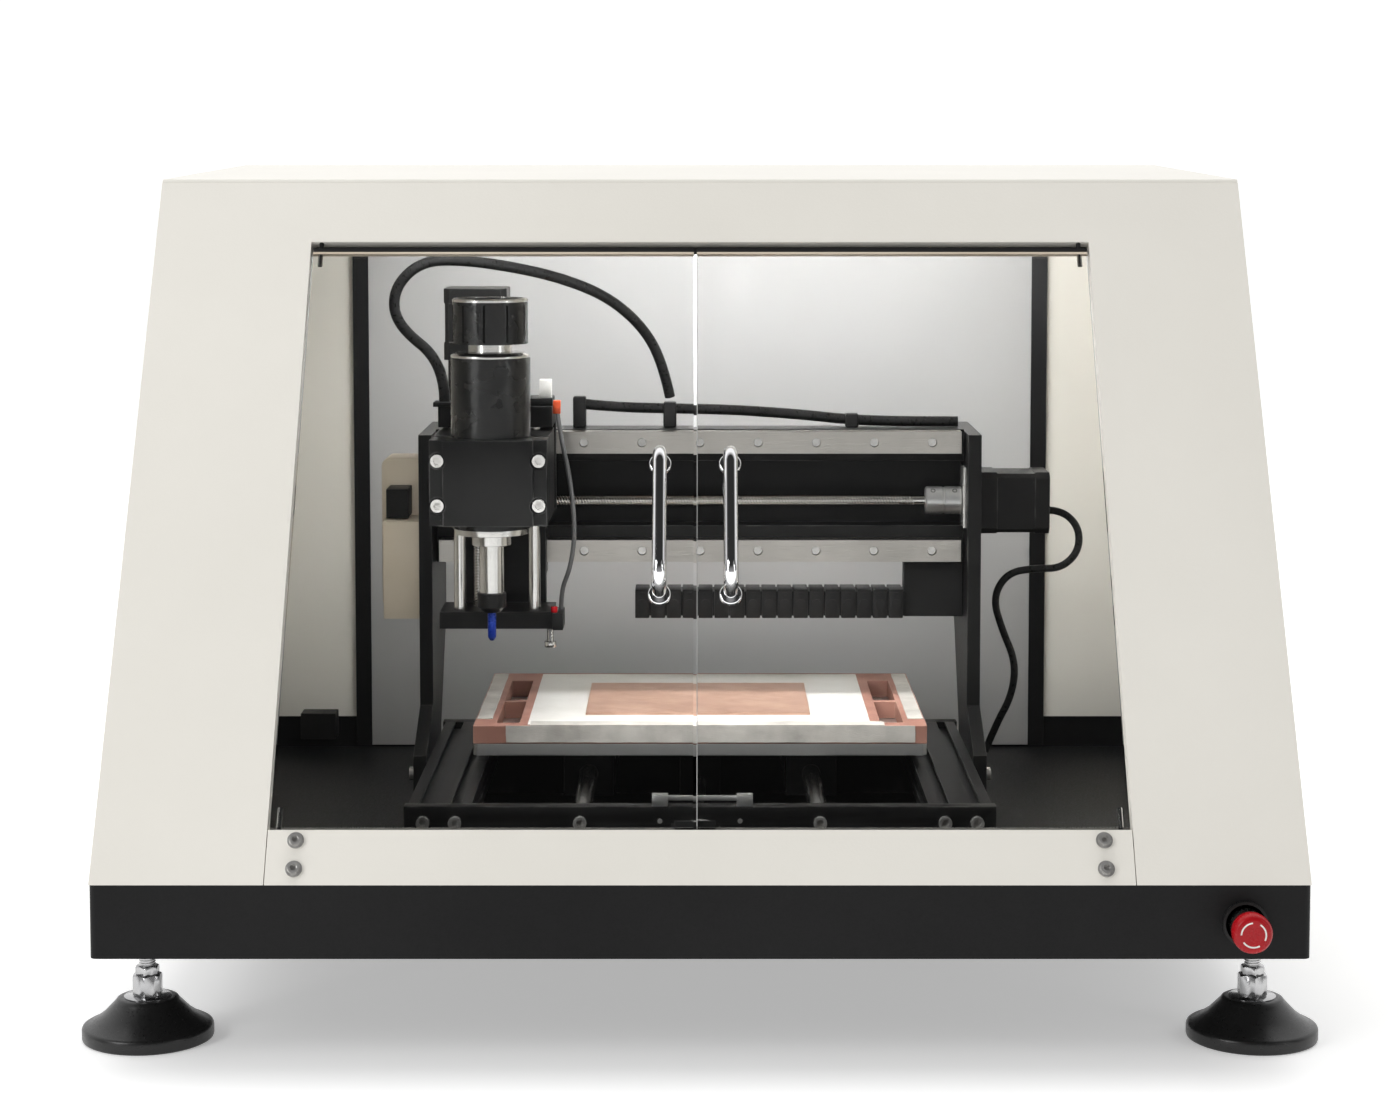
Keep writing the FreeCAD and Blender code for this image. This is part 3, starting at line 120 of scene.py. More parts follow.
def settled(piece):
    pickOnly(piece)
    bpy.ops.object.transform_apply(location=True, rotation=True, scale=True)


def cleaned(piece):
    startEdit(piece)
    bpy.ops.mesh.remove_doubles(threshold=1e-6)
    bpy.ops.mesh.normals_make_consistent(inside=False)
    endEdit()


def joinedAs(name, pieces):
    bpy.ops.object.select_all(action="DESELECT")
    for piece in pieces:
        piece.select_set(True)
    bpy.context.view_layer.objects.active = pieces[0]
    if len(pieces) > 1:
        bpy.ops.object.join()
    pieces[0].name = name
    return pieces[0]


def finished(piece, name, body, finish, replaced=()):
    piece.name = name
    piece.data.materials.clear()
    piece.data.materials.append(finishes[finish])
    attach(piece, body)
    if replaced:
        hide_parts(*replaced)
    return piece


def nodeCopy(node):
    # a merged copy of a node's mesh, ready to be worked
    piece = bpy.data.objects.new(node + "Copy", nodes[node].data.copy())
    bpy.context.scene.collection.objects.link(piece)
    pickOnly(piece)
    bpy.ops.mesh.customdata_custom_splitnormals_clear()
    startEdit(piece)
    bpy.ops.mesh.remove_doubles(threshold=2e-6)
    bpy.ops.mesh.dissolve_limited(angle_limit=math.radians(0.5))
    endEdit()
    return piece


def solidsOf(node):
    # the separate solids of a node, from left to right, then front to back, then low to high
    piece = nodeCopy(node)
    startEdit(piece)
    bpy.ops.mesh.separate(type="LOOSE")
    endEdit()
    found = [o for o in bpy.context.selected_objects]

    def place(o):
        corners = [v.co for v in o.data.vertices]
        return [round(sum(c[i] for c in corners) / len(corners), 4) for i in range(3)]
    return sorted(found, key=place)


def middle(piece):
    low = [min(v.co[i] for v in piece.data.vertices) for i in range(3)]
    high = [max(v.co[i] for v in piece.data.vertices) for i in range(3)]
    return Vector([(a + b) / 2 for a, b in zip(low, high)])


def block(size, place):
    bpy.ops.object.select_all(action="DESELECT")
    bpy.ops.mesh.primitive_cube_add(size=1, location=place, scale=size)
    piece = bpy.context.active_object
    settled(piece)
    return piece


def drum(radius, depth, place, along="Z", sides=48):
    turns = {"X": (0, math.pi / 2, 0), "Y": (math.pi / 2, 0, 0), "Z": (0, 0, 0)}
    bpy.ops.object.select_all(action="DESELECT")
    bpy.ops.mesh.primitive_cylinder_add(vertices=sides, radius=radius, depth=depth, location=place,
                                        rotation=turns[along])
    piece = bpy.context.active_object
    settled(piece)
    return piece


def lathed(profile, place, along="Z", steps=48, rise=0.0, turns=1, angle=360):
    # (radius, height) steps turned about a line through a place; with a rise, the profile winds as a thread
    bpy.ops.object.select_all(action="DESELECT")
    bpy.ops.mesh.primitive_plane_add(size=0.001, location=(0, 0, 0))
    piece = bpy.context.active_object
    startEdit(piece)
    bpy.ops.mesh.merge(type="CENTER")
    bpy.ops.transform.translate(value=(profile[0][0], 0, profile[0][1]))
    for (r0, h0), (r1, h1) in zip(profile, profile[1:]):
        bpy.ops.mesh.extrude_vertices_move(TRANSFORM_OT_translate={"value": (r1 - r0, 0, h1 - h0)})
    endEdit()
    applied(piece, "SCREW", axis="Z", angle=math.radians(angle), steps=steps, render_steps=steps,
            screw_offset=rise, iterations=turns, use_merge_vertices=True, merge_threshold=1e-6,
            use_smooth_shade=False)
    cleaned(piece)
    piece.rotation_euler = lieAlong[along]
    piece.location = place
    settled(piece)
    return piece


# shader node groups that several finishes share
def newGroup(name, inputs, outputs):
    tree = bpy.data.node_groups.new(name, "ShaderNodeTree")
    for socket, kind in inputs:
        tree.interface.new_socket(name=socket, in_out="INPUT", socket_type=kind)
    for socket, kind in outputs:
        tree.interface.new_socket(name=socket, in_out="OUTPUT", socket_type=kind)
    return tree, tree.nodes.new("NodeGroupInput"), tree.nodes.new("NodeGroupOutput")


def makeGrainGroup():
    # noise stretched by Size, in grains per metre along each axis, on broad drifts of tone
    tree, given, out = newGroup("surfaceGrain",
                                [("Size", "NodeSocketVector"), ("Drift", "NodeSocketFloat")],
                                [("Tone", "NodeSocketFloat"), ("Broad", "NodeSocketFloat")])
    coords = tree.nodes.new("ShaderNodeTexCoord")
    stretch = tree.nodes.new("ShaderNodeVectorMath")
    stretch.operation = "MULTIPLY"
    fine = tree.nodes.new("ShaderNodeTexNoise")
    fine.inputs["Scale"].default_value = 1.0
    fine.inputs["Detail"].default_value = 3.0
    broad = tree.nodes.new("ShaderNodeTexNoise")
    broad.inputs["Detail"].default_value = 4.0
    broad.inputs["Roughness"].default_value = 0.6
    tree.links.new(coords.outputs["Object"], stretch.inputs[0])
    tree.links.new(given.outputs["Size"], stretch.inputs[1])
    tree.links.new(stretch.outputs[0], fine.inputs["Vector"])
    tree.links.new(coords.outputs["Object"], broad.inputs["Vector"])
    tree.links.new(given.outputs["Drift"], broad.inputs["Scale"])
    tree.links.new(fine.outputs["Fac"], out.inputs["Tone"])
    tree.links.new(broad.outputs["Fac"], out.inputs["Broad"])
    return tree


def makeWearAndHighlightGroup():
    # where corners have been rubbed and where they catch light: the turn of a rounded normal, broken up by
    # noise; part real wear, part painted highlight
    tree, given, out = newGroup("rubbedEdges", [("Width", "NodeSocketFloat"), ("Amount", "NodeSocketFloat")],
                                [("Mask", "NodeSocketFloat")])
    bevel = tree.nodes.new("ShaderNodeBevel")
    bevel.samples = 3
    surface = tree.nodes.new("ShaderNodeNewGeometry")
    turn = tree.nodes.new("ShaderNodeVectorMath")
    turn.operation = "DOT_PRODUCT"
    lean = tree.nodes.new("ShaderNodeMapRange")
    lean.inputs["From Min"].default_value = 0.985
    lean.inputs["From Max"].default_value = 0.88
    coords = tree.nodes.new("ShaderNodeTexCoord")
    patches = tree.nodes.new("ShaderNodeTexNoise")
    patches.inputs["Scale"].default_value = 55.0
    patches.inputs["Detail"].default_value = 5.0
    broken = tree.nodes.new("ShaderNodeMapRange")
    broken.inputs["From Min"].default_value = 0.42
    broken.inputs["From Max"].default_value = 0.66
    both = tree.nodes.new("ShaderNodeMath")
    both.operation = "MULTIPLY"
    amount = tree.nodes.new("ShaderNodeMath")
    amount.operation = "MULTIPLY"
    tree.links.new(given.outputs["Width"], bevel.inputs["Radius"])
    tree.links.new(bevel.outputs[0], turn.inputs[0])
    tree.links.new(surface.outputs["True Normal"], turn.inputs[1])
    tree.links.new(turn.outputs["Value"], lean.inputs["Value"])
    tree.links.new(coords.outputs["Object"], patches.inputs["Vector"])
    tree.links.new(patches.outputs["Fac"], broken.inputs["Value"])
    tree.links.new(lean.outputs[0], both.inputs[0])
    tree.links.new(broken.outputs[0], both.inputs[1])
    tree.links.new(both.outputs[0], amount.inputs[0])
    tree.links.new(given.outputs["Amount"], amount.inputs[1])
    tree.links.new(amount.outputs[0], out.inputs["Mask"])
    return tree


grainGroup = makeGrainGroup()
wearAndHighlightEdges = makeWearAndHighlightGroup()


def groupNode(tree, group, **values):
    node = tree.nodes.new("ShaderNodeGroup")
    node.node_tree = group
    for name, value in values.items():
        node.inputs[name].default_value = value
    return node


def mixColours(tree, first, second, share):
    mix = tree.nodes.new("ShaderNodeMix")
    mix.data_type = "RGBA"
    for socket, value in ((mix.inputs["A"], first), (mix.inputs["B"], second)):
        if isinstance(value, bpy.types.NodeSocket):
            tree.links.new(value, socket)
        else:
            socket.default_value = (*value, 1)
    tree.links.new(share, mix.inputs["Factor"])
    return mix.outputs["Result"]


def ranged(tree, value, low, high, start=0.3, end=0.7):
    spread = tree.nodes.new("ShaderNodeMapRange")
    spread.inputs["From Min"].default_value = start
    spread.inputs["From Max"].default_value = end
    spread.inputs["To Min"].default_value = low
    spread.inputs["To Max"].default_value = high
    tree.links.new(value, spread.inputs["Value"])
    return spread.outputs[0]


# what a user would change in each finish: two tones, roughness range, grains per metre, bump height
finishValues = {
    "creamPowder": {"light": (0.80, 0.775, 0.715), "dark": (0.75, 0.725, 0.665), "rough": (0.36, 0.46),
                    "grain": (620, 620, 620), "height": 0.00005, "drift": 3.0},
    "blackPowder": {"light": (0.009, 0.009, 0.0093), "dark": (0.005, 0.005, 0.0053), "rough": (0.42, 0.58),
                    "grain": (900, 900, 900), "height": 0.00006, "drift": 6.0, "gloss": 0.18,
                    "rub": (0.05, 0.05, 0.05), "rubbed": 0.35},
    "blackAnodised": {"light": (0.010, 0.010, 0.0098), "dark": (0.005, 0.005, 0.005), "rough": (0.34, 0.48),
                      "grain": (1500, 1500, 1500), "height": 0.000004, "drift": 14.0, "gloss": 0.20,
                      "rub": (0.22, 0.22, 0.21), "rubbed": 0.45},
    "blackSatin": {"light": (0.008, 0.008, 0.008), "dark": (0.006, 0.006, 0.006), "rough": (0.24, 0.29),
                   "grain": (60, 60, 60), "height": 0.0000005, "drift": 9.0, "gloss": 0.42, "coat": 0.1},
    "blackPlastic": {"light": (0.013, 0.013, 0.013), "dark": (0.008, 0.008, 0.008), "rough": (0.40, 0.58),
                     "grain": (1800, 1800, 1800), "height": 0.00003, "drift": 30.0, "gloss": 0.3},
    "footRubber": {"light": (0.016, 0.016, 0.016), "dark": (0.009, 0.009, 0.009), "rough": (0.26, 0.42),
                   "grain": (700, 700, 700), "height": 0.00003, "drift": 18.0},
    "creamPlastic": {"light": (0.68, 0.60, 0.48), "dark": (0.60, 0.52, 0.40), "rough": (0.4, 0.5),
                     "grain": (1200, 1200, 1200), "height": 0.00002, "drift": 20.0},
    "polishedChrome": {"light": (0.90, 0.90, 0.91), "dark": (0.84, 0.84, 0.85), "rough": (0.04, 0.09),
                       "grain": (90, 90, 90), "height": 0.000002, "drift": 40.0, "metal": 1.0},
    "groundSteel": {"light": (0.60, 0.575, 0.54), "dark": (0.46, 0.44, 0.41), "rough": (0.26, 0.40),
                    "grain": (40, 5200, 5200), "height": 0.000006, "drift": 12.0, "metal": 1.0},
    "turnedSteel": {"light": (0.84, 0.83, 0.81), "dark": (0.70, 0.69, 0.67), "rough": (0.14, 0.26),
                    "grain": (260, 260, 5200), "height": 0.000006, "drift": 30.0, "metal": 1.0},
    "boltSteel": {"light": (0.70, 0.69, 0.67), "dark": (0.50, 0.49, 0.47), "rough": (0.14, 0.26),
                  "grain": (900, 900, 900), "height": 0.00001, "drift": 120.0, "metal": 0.7},
    "brushedSheet": {"light": (0.58, 0.58, 0.58), "dark": (0.52, 0.52, 0.52), "rough": (0.36, 0.46),
                     "grain": (9, 9, 1600), "height": 0.000004, "drift": 2.5, "metal": 0.55},
    "clearAnodised": {"light": (0.74, 0.74, 0.735), "dark": (0.62, 0.62, 0.615), "rough": (0.30, 0.42),
                      "grain": (60, 2600, 2600), "height": 0.000006, "drift": 16.0, "metal": 0.9},
    "greenBoard": {"light": (0.03, 0.17, 0.07), "dark": (0.015, 0.10, 0.04), "rough": (0.25, 0.4),
                   "grain": (500, 120, 500), "height": 0.00002, "drift": 60.0},
    "sleeve": {"light": (0.012, 0.012, 0.012), "dark": (0.005, 0.005, 0.005), "rough": (0.24, 0.40),
               "grain": (500, 500, 500), "height": 0.00010, "drift": 45.0, "gloss": 0.3},
    "greyWire": {"light": (0.10, 0.10, 0.10), "dark": (0.04, 0.04, 0.04), "rough": (0.35, 0.5),
                 "grain": (900, 900, 900), "height": 0.00003, "drift": 40.0},
    "terracotta": {"light": (0.40, 0.205, 0.155), "dark": (0.25, 0.115, 0.085), "rough": (0.62, 0.85),
                   "grain": (900, 900, 2600), "height": 0.00012, "drift": 26.0,
                   "rub": (0.55, 0.38, 0.31), "rubbed": 0.8},
    "maskingTape": {"light": (0.62, 0.595, 0.55), "dark": (0.38, 0.36, 0.33), "rough": (0.5, 0.75),
                    "grain": (420, 1500, 1500), "height": 0.0002, "drift": 38.0},
    "paperSheet": {"light": (0.78, 0.765, 0.735), "dark": (0.66, 0.64, 0.60), "rough": (0.6, 0.8),
                   "grain": (1400, 1400, 1400), "height": 0.00008, "drift": 22.0},
    "copperClad": {"light": (0.56, 0.36, 0.27), "dark": (0.42, 0.25, 0.18), "rough": (0.38, 0.58),
                   "grain": (110, 1900, 400), "height": 0.00003, "drift": 42.0, "metal": 0.4},
    "tanRim": {"light": (0.66, 0.57, 0.46), "dark": (0.55, 0.46, 0.36), "rough": (0.25, 0.4),
               "grain": (300, 900, 900), "height": 0.00001, "drift": 12.0},
    # pale opaque colour for the doors' meeting edge: the edge is real, its brightness is a painted highlight
    "clearRim": {"light": (0.46, 0.46, 0.45), "dark": (0.32, 0.32, 0.31), "rough": (0.12, 0.25),
                 "grain": (300, 900, 900), "height": 0.00001, "drift": 12.0},
    "studZinc": {"light": (0.52, 0.52, 0.52), "dark": (0.40, 0.40, 0.41), "rough": (0.14, 0.24),
                 "grain": (300, 300, 300), "height": 0.000002, "drift": 60.0, "metal": 1.0},
    # near-black colour that paints the shade inside the spindle's cooling slots
    "slotDark": {"light": (0.003, 0.003, 0.003), "dark": (0.002, 0.002, 0.002), "rough": (0.6, 0.8),
                 "grain": (300, 300, 300), "height": 0.000002, "drift": 60.0, "gloss": 0.1},
    "redPlastic": {"light": (0.40, 0.007, 0.012), "dark": (0.30, 0.004, 0.008), "rough": (0.22, 0.30),
                   "grain": (300, 300, 300), "height": 0.000002, "drift": 60.0, "gloss": 0.25},
    "orangePlastic": {"light": (0.72, 0.12, 0.04), "dark": (0.58, 0.07, 0.02), "rough": (0.25, 0.4),
                      "grain": (900, 900, 900), "height": 0.00001, "drift": 90.0},
    "whitePlastic": {"light": (0.80, 0.79, 0.76), "dark": (0.66, 0.65, 0.62), "rough": (0.3, 0.45),
                     "grain": (900, 900, 900), "height": 0.00001, "drift": 60.0},
    "blueCoat": {"light": (0.016, 0.06, 0.42), "dark": (0.006, 0.025, 0.26), "rough": (0.2, 0.34),
                 "grain": (900, 900, 2400), "height": 0.00001, "drift": 160.0, "metal": 0.35},
}


def makeFinish(name, look):
    material = bpy.data.materials.new(name)
    material.use_nodes = True
    tree = material.node_tree
    shader = tree.nodes["Principled BSDF"]
    shader.inputs["Metallic"].default_value = look.get("metal", 0.0)
    shader.inputs["Specular IOR Level"].default_value = look.get("gloss", 0.5)
    shader.inputs["Coat Weight"].default_value = look.get("coat", 0.0)
    shader.inputs["Coat Roughness"].default_value = 0.12
    grain = groupNode(tree, grainGroup, Size=look["grain"], Drift=look["drift"])
    colour = mixColours(tree, look["dark"], look["light"], ranged(tree, grain.outputs["Broad"], 0, 1))
    # edges lightened towards the rub tone: part rubbed wear, part painted highlight
    if "rub" in look:
        rub = groupNode(tree, wearAndHighlightEdges, Width=0.0012, Amount=look["rubbed"])
        colour = mixColours(tree, colour, look["rub"], rub.outputs["Mask"])
    tree.links.new(colour, shader.inputs["Base Color"])
    tree.links.new(ranged(tree, grain.outputs["Tone"], *look["rough"]), shader.inputs["Roughness"])
    bump = tree.nodes.new("ShaderNodeBump")
    bump.inputs["Strength"].default_value = 1.0
    bump.inputs["Distance"].default_value = look["height"]
    tree.links.new(grain.outputs["Tone"], bump.inputs["Height"])
    tree.links.new(bump.outputs["Normal"], shader.inputs["Normal"])
    return material


def makeAcrylic(name, tint, edge):
    # clear sheet that lets lamp light through; edge sets the roughness of the whole sheet
    material = bpy.data.materials.new(name)
    material.use_nodes = True
    tree = material.node_tree
    shader = tree.nodes["Principled BSDF"]
    shader.inputs["Base Color"].default_value = (*tint, 1)
    shader.inputs["IOR"].default_value = 1.49
    shader.inputs["Transmission Weight"].default_value = 1.0
    shader.inputs["Roughness"].default_value = edge
    clear = tree.nodes.new("ShaderNodeBsdfTransparent")
    clear.inputs["Color"].default_value = (*tint, 1)
    rays = tree.nodes.new("ShaderNodeLightPath")
    mix = tree.nodes.new("ShaderNodeMixShader")
    out = tree.nodes["Material Output"]
    tree.links.new(rays.outputs["Is Shadow Ray"], mix.inputs["Fac"])
    tree.links.new(shader.outputs["BSDF"], mix.inputs[1])
    tree.links.new(clear.outputs["BSDF"], mix.inputs[2])
    tree.links.new(mix.outputs["Shader"], out.inputs["Surface"])
    return material


finishes = {name: makeFinish(name, look) for name, look in finishValues.items()}
finishes["smokedAcrylic"] = makeAcrylic("smokedAcrylic", (0.975, 0.978, 0.972), 0.005)
print("finishes made:", len(finishes))

# every node that keeps its drawn shape: new name, rounding in millimetres, finish
keptShapes = {
    "base_tray": ("trayPan", 0.7, "blackPowder"),
    "hood_front_frame": ("frontFrame", 0.5, "creamPowder"),
    "hood_cover": ("hoodShell", 0.5, "creamPowder"),
    "rear_wall": ("rearWall", 0.3, "creamPowder"),
    "rear_access_panel": ("rearSheet", 0.3, "brushedSheet"),
    "rear_panel_trim": ("rearTrim", 0.3, "blackPowder"),
    "lower_front_panel": ("lowerFrontPanel", 0.4, "creamPowder"),
    "door_hardware": ("hingesAndCatch", 0.2, "blackAnodised"),
    "stop_button_stem": ("stopStem", 0.2, "blackPlastic"),
    "power_inlet": ("powerInlet", 0.4, "blackPlastic"),
    "power_supply": ("powerSupply", 0.5, "clearAnodised"),
    "bed_extrusions": ("bedExtrusions", 0.3, "blackAnodised"),
    "y_guide_rods": ("bedRods", 0.3, "turnedSteel"),
    "screw_bearings": ("screwBearings", 0.3, "boltSteel"),
    "y_motor": ("bedMotor", 0.4, "blackAnodised"),
    "gantry_uprights": ("gantrySides", 0.5, "blackAnodised"),
    "x_beam": ("gantryBeam", 0.4, "blackAnodised"),
    "x_rails": ("gantryRails", 0.25, "groundSteel"),
    "x_motor": ("gantryMotor", 0.5, "blackAnodised"),
    "frame_bolts": ("frameBolts", 0.15, "boltSteel"),
    "table_plate": ("tablePlate", 0.6, "clearAnodised"),
    "table_bearing_blocks": ("tableBearings", 0.4, "blackAnodised"),
    "spoilboard": ("spoilBoard", 0.5, "terracotta"),
    "copper_blank": ("copperBlank", 0.15, "copperClad"),
    "x_carriage_plate": ("carriagePlate", 0.5, "blackAnodised"),
    "x_rail_blocks": ("railBlocks", 0.4, "blackAnodised"),
    "z_end_plates": ("carriageEndPlates", 0.5, "blackAnodised"),
    "z_guide_rods": ("liftRods", 0.3, "turnedSteel"),
    "z_motor": ("liftMotor", 0.5, "blackAnodised"),
    "spindle_mount": ("spindleMount", 0.6, "blackAnodised"),
    "clamp_cap": ("clampCap", 0.8, "blackAnodised"),
    "clamp_bolts": ("clampBolts", 0.3, "boltSteel"),
    "spindle_body": ("spindleCan", 0.4, "blackSatin"),
    "spindle_top_motor": ("spindleTopCan", 0.5, "blackSatin"),
    "spindle_end_bells": ("spindleBells", 0.35, "turnedSteel"),
    "spindle_shaft": ("spindleShaft", 0.3, "turnedSteel"),
    "collet_nut": ("colletNut", 0.4, "blackAnodised"),
}
for node, (name, width, finish) in keptShapes.items():
    piece = nodeCopy(node)
    rounded(piece, width * mm)
    smooth(piece)
    applied(piece, "WEIGHTED_NORMAL", keep_sharp=True, weight=80)
    finished(piece, name, nodes[node]["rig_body"], finish, [node])
print("kept shapes rounded:", len(keptShapes))
for node in nodes:
    if node not in keptShapes:
        nodes[node].data.materials.clear()
        nodes[node].data.materials.append(finishes["blackPlastic"])

# doors: the sheets and pull handles stay as drawn
for side in ("left", "right"):
    nodes[side + "_door"].data.materials[0] = finishes["smokedAcrylic"]
    nodes[side + "_handle"].data.materials[0] = finishes["polishedChrome"]


# door rims: a tan bonded top edge, a black band along the doors' top edge that is painted shade for the dark
# gap under the frame, a pale strip on the meeting edges that is a painted highlight for their bright polished
# edges, and a black seal above the doors
rimValues = {"lean": 57.1, "foot": (-268.5, 136.9), "length": 391.2, "thick": 5.35, "black": 2.6, "tan": 1.5,
             "meeting": 0.5, "left": (-248.5, -4.0), "right": (-2.0, 248.5), "sealDrop": 5.0, "sealGap": 0.8,
             "sealReach": 249.0, "sealOut": 5.2, "sealThick": 2.0}


def doorStrip(name, body, finish, across, along, offset=0.0, thick=None):
    # a bar in the leaning plane of the doors: across is x, along runs up from the doors' lower edge
    v = rimValues
    lean = math.radians(v["lean"])
    size = (across[1] - across[0], thick or v["thick"], along[1] - along[0])
    bar = block([side * mm for side in size], (0, 0, 0))
    rounded(bar, 0.15 * mm, 1)
    rise = (along[0] + along[1]) / 2
    bar.rotation_euler = (lean - math.pi / 2, 0, 0)
    bar.location = ((across[0] + across[1]) / 2 * mm,
                    (v["foot"][0] + rise * math.cos(lean) + offset * math.sin(lean)) * mm,
                    (v["foot"][1] + rise * math.sin(lean) - offset * math.cos(lean)) * mm)
    settled(bar)
    return finished(bar, name, body, finish)


def makeRims():
    v = rimValues
    length, black, tan = v["length"], v["black"], v["tan"]
    for side in ("left", "right"):
        body = side + "_door"
        # black band at the very top of each door: painted shade standing in for the dark gap between door and
        # frame
        doorStrip(side + "DoorTopBand", body, "blackPlastic", v[side],
                  (length - black, length))
        doorStrip(side + "DoorTopRim", body, "tanRim", v[side],
                  (length - black - tan, length - black))
    inner = v["right"][0]
    # pale strip on the meeting edge: painted highlight for the bright polished acrylic edge
    doorStrip("doorMeetingRim", "right_door", "clearRim", (inner, inner + v["meeting"]),
              (0.5, length - black - tan))
    sealFoot = length + v["sealGap"]
    doorStrip("doorSeal", "frame", "blackPlastic", (-v["sealReach"], v["sealReach"]),
              (sealFoot, sealFoot + v["sealDrop"]), v["sealOut"], v["sealThick"])


makeRims()

# levelling feet: a ribbed rubber pad, a washer, a stud with its thread, and two nuts
footValues = {"padRadius": 39.0, "neckRadius": 17.5, "padTop": 25.0, "nutHeight": 13.6, "studRadius": 5.0,
              "pitch": 1.5, "washerRadius": 14.0, "nutWidth": 16, "collarWidth": 13, "collarHeight": 5,
              "lockNut": (57.7, 65.7)}


def hexNut(width, low, high, rim=0.9):
    # a nut with turned corners, about a line through the origin
    nut = drum(width / math.sqrt(3) * mm, (high - low) * mm, (0, 0, (low + high) / 2 * mm), sides=6)
    cutter = lathed([(0, low * mm), ((width / 2 + 0.1) * mm, low * mm),
                     ((width / 2 + 1.4) * mm, (low + rim) * mm), ((width / 2 + 1.4) * mm, (high - rim) * mm),
                     ((width / 2 + 0.1) * mm, high * mm), (0, high * mm)], (0, 0, 0), steps=36)
    applied(nut, "BOOLEAN", operation="INTERSECT", object=cutter, solver="EXACT")
    bpy.data.objects.remove(cutter)
    rounded(nut, 0.2 * mm, 1)
    return nut


def makeFoot(node):
    low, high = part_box(node)
    centre = ((low.x + high.x) / 2, (low.y + high.y) / 2, 0)
    v = footValues
    top = v["padTop"]
    pad = lathed([(r * mm, h * mm) for r, h in (
        (0, 0), (v["padRadius"] - 1.4, 0), (v["padRadius"] - 0.4, 0.5), (v["padRadius"], 1.6),
        (v["padRadius"], 6.6), (v["padRadius"] - 0.5, 7.9), (v["padRadius"] - 1.9, 8.7),
        (v["padRadius"] - 4.2, 9.2), (v["neckRadius"] + 9, 15.2), (v["neckRadius"] + 3.4, 21.0),
        (v["neckRadius"] + 1.6, top - 2.1), (v["neckRadius"] + 0.6, top - 0.7),
        (v["neckRadius"] - 0.6, top - 0.1), (v["neckRadius"] - 2, top), (0, top))], centre, steps=72)
    smooth(pad, 50)
    finished(pad, node + "Pad", node, "footRubber", [node])
    washer = lathed([(r * mm, h * mm) for r, h in (
        (0, top - 0.1), (v["washerRadius"], top - 0.1), (v["washerRadius"], top + 0.5),
        (v["washerRadius"] - 0.6, top + 0.9), (0, top + 0.9))], centre, steps=40)
    nutTop = top + v["nutHeight"]
    nut = hexNut(v["nutWidth"], top + 0.9, nutTop)
    collar = hexNut(v["collarWidth"], nutTop, nutTop + v["collarHeight"])
    lockNut = hexNut(v["nutWidth"], *v["lockNut"])
    pitch, outer = v["pitch"] * mm, v["studRadius"] * mm
    threadFoot = (nutTop + 4) * mm
    turns = int((high.z - threadFoot) / pitch)
    stud = lathed([(outer - 0.62 * mm, 0), (outer, 0.3 * pitch), (outer, 0.42 * pitch),
                   (outer - 0.62 * mm, 0.75 * pitch), (outer - 0.62 * mm, pitch)],
                  (0, 0, threadFoot), steps=20, rise=pitch, turns=turns - 1)
    core = drum(outer - 0.5 * mm, high.z - 30 * mm, (0, 0, (high.z + 30 * mm) / 2), sides=32)
    rounded(core, 0.4 * mm, 1)
    metal = [nut, collar, lockNut, stud, core]
    for piece in metal:
        piece.location = centre
        settled(piece)
    metal = joinedAs("stud", metal + [washer])
    smooth(metal, 35)
    finished(metal, node + "Stud", node, "studZinc", [node])


for foot in ("front_left_foot", "front_right_foot", "rear_left_foot", "rear_right_foot"):
    makeFoot(foot)
print("feet made")


# emergency stop: domed red head with three curved marks, on a ringed collar
stopValues = {"radius": 11.4, "front": 13.0, "markRadius": 7.0, "markWidth": 0.9, "markSpan": 84}


def makeStop():
    v = stopValues
    low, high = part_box("stop_button_head")
    x, z = (low.x + high.x) / 2, (low.z + high.z) / 2
    head = lathed([(r * mm, h * mm) for r, h in (
        (3.1, 0), (v["radius"] - 2.6, 0), (v["radius"] - 0.9, 0.8), (v["radius"] - 0.4, 2.4),
        (v["radius"], 5.6), (v["radius"], v["front"] - 3.6), (v["radius"] - 0.5, v["front"] - 1.9),
        (v["radius"] - 1.6, v["front"] - 0.6), (v["radius"] - 3.0, v["front"] - 0.1),
        (v["radius"] - 4.4, v["front"] - 0.25), (3.0, v["front"] - 0.5), (0, v["front"] - 0.5))],
        (x, high.y, z), "-Y", steps=64)
    smooth(head, 50)
    finished(head, "stopHead", "stop_head", "redPlastic", ["stop_button_head"])
    marks = []
    inner, outer = v["markRadius"] - v["markWidth"] / 2, v["markRadius"] + v["markWidth"] / 2
    face = v["front"] - 0.32
    for turn in range(3):
        mark = lathed([(r * mm, h * mm) for r, h in (
            (inner, face - 0.3), (outer, face - 0.3), (outer, face + 0.2), (inner, face + 0.1),
            (inner, face - 0.3))], (0, 0, 0), steps=16, angle=v["markSpan"])
        startEdit(mark)
        bpy.ops.mesh.select_mode(type="EDGE")
        bpy.ops.mesh.select_all(action="DESELECT")
        bpy.ops.mesh.select_non_manifold()
        bpy.ops.mesh.edge_face_add()
        endEdit()
        mark.rotation_euler = (math.pi / 2, 0, 0)
        settled(mark)
        mark.rotation_euler = (0, math.radians(120 * turn + 25), 0)
        mark.location = (x, high.y, z)
        settled(mark)
        marks.append(mark)
    finished(joinedAs("stopMarks", marks), "stopMarks", "stop_head", "whitePlastic")
    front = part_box("base_tray")[0].y
    ring = lathed([(r * mm, h * mm) for r, h in (
        (9.0, 0), (13.0, 0), (13.0, 1.6), (12.4, 2.6), (11.4, 3.0), (9.6, 3.0), (9.0, 8.6), (6.2, 8.9),
        (6.2, 0))], (x, front, z), "-Y", steps=64)
    smooth(ring, 40)
    finished(ring, "stopRing", "frame", "turnedSteel")


makeStop()
print("stop button made")


# lead screws: four-start threads, with a turned coupling at the motor end
screwValues = {"radius": 4.0, "depth": 0.55, "lead": 8.0, "starts": 4, "couplingRadius": 9.5}


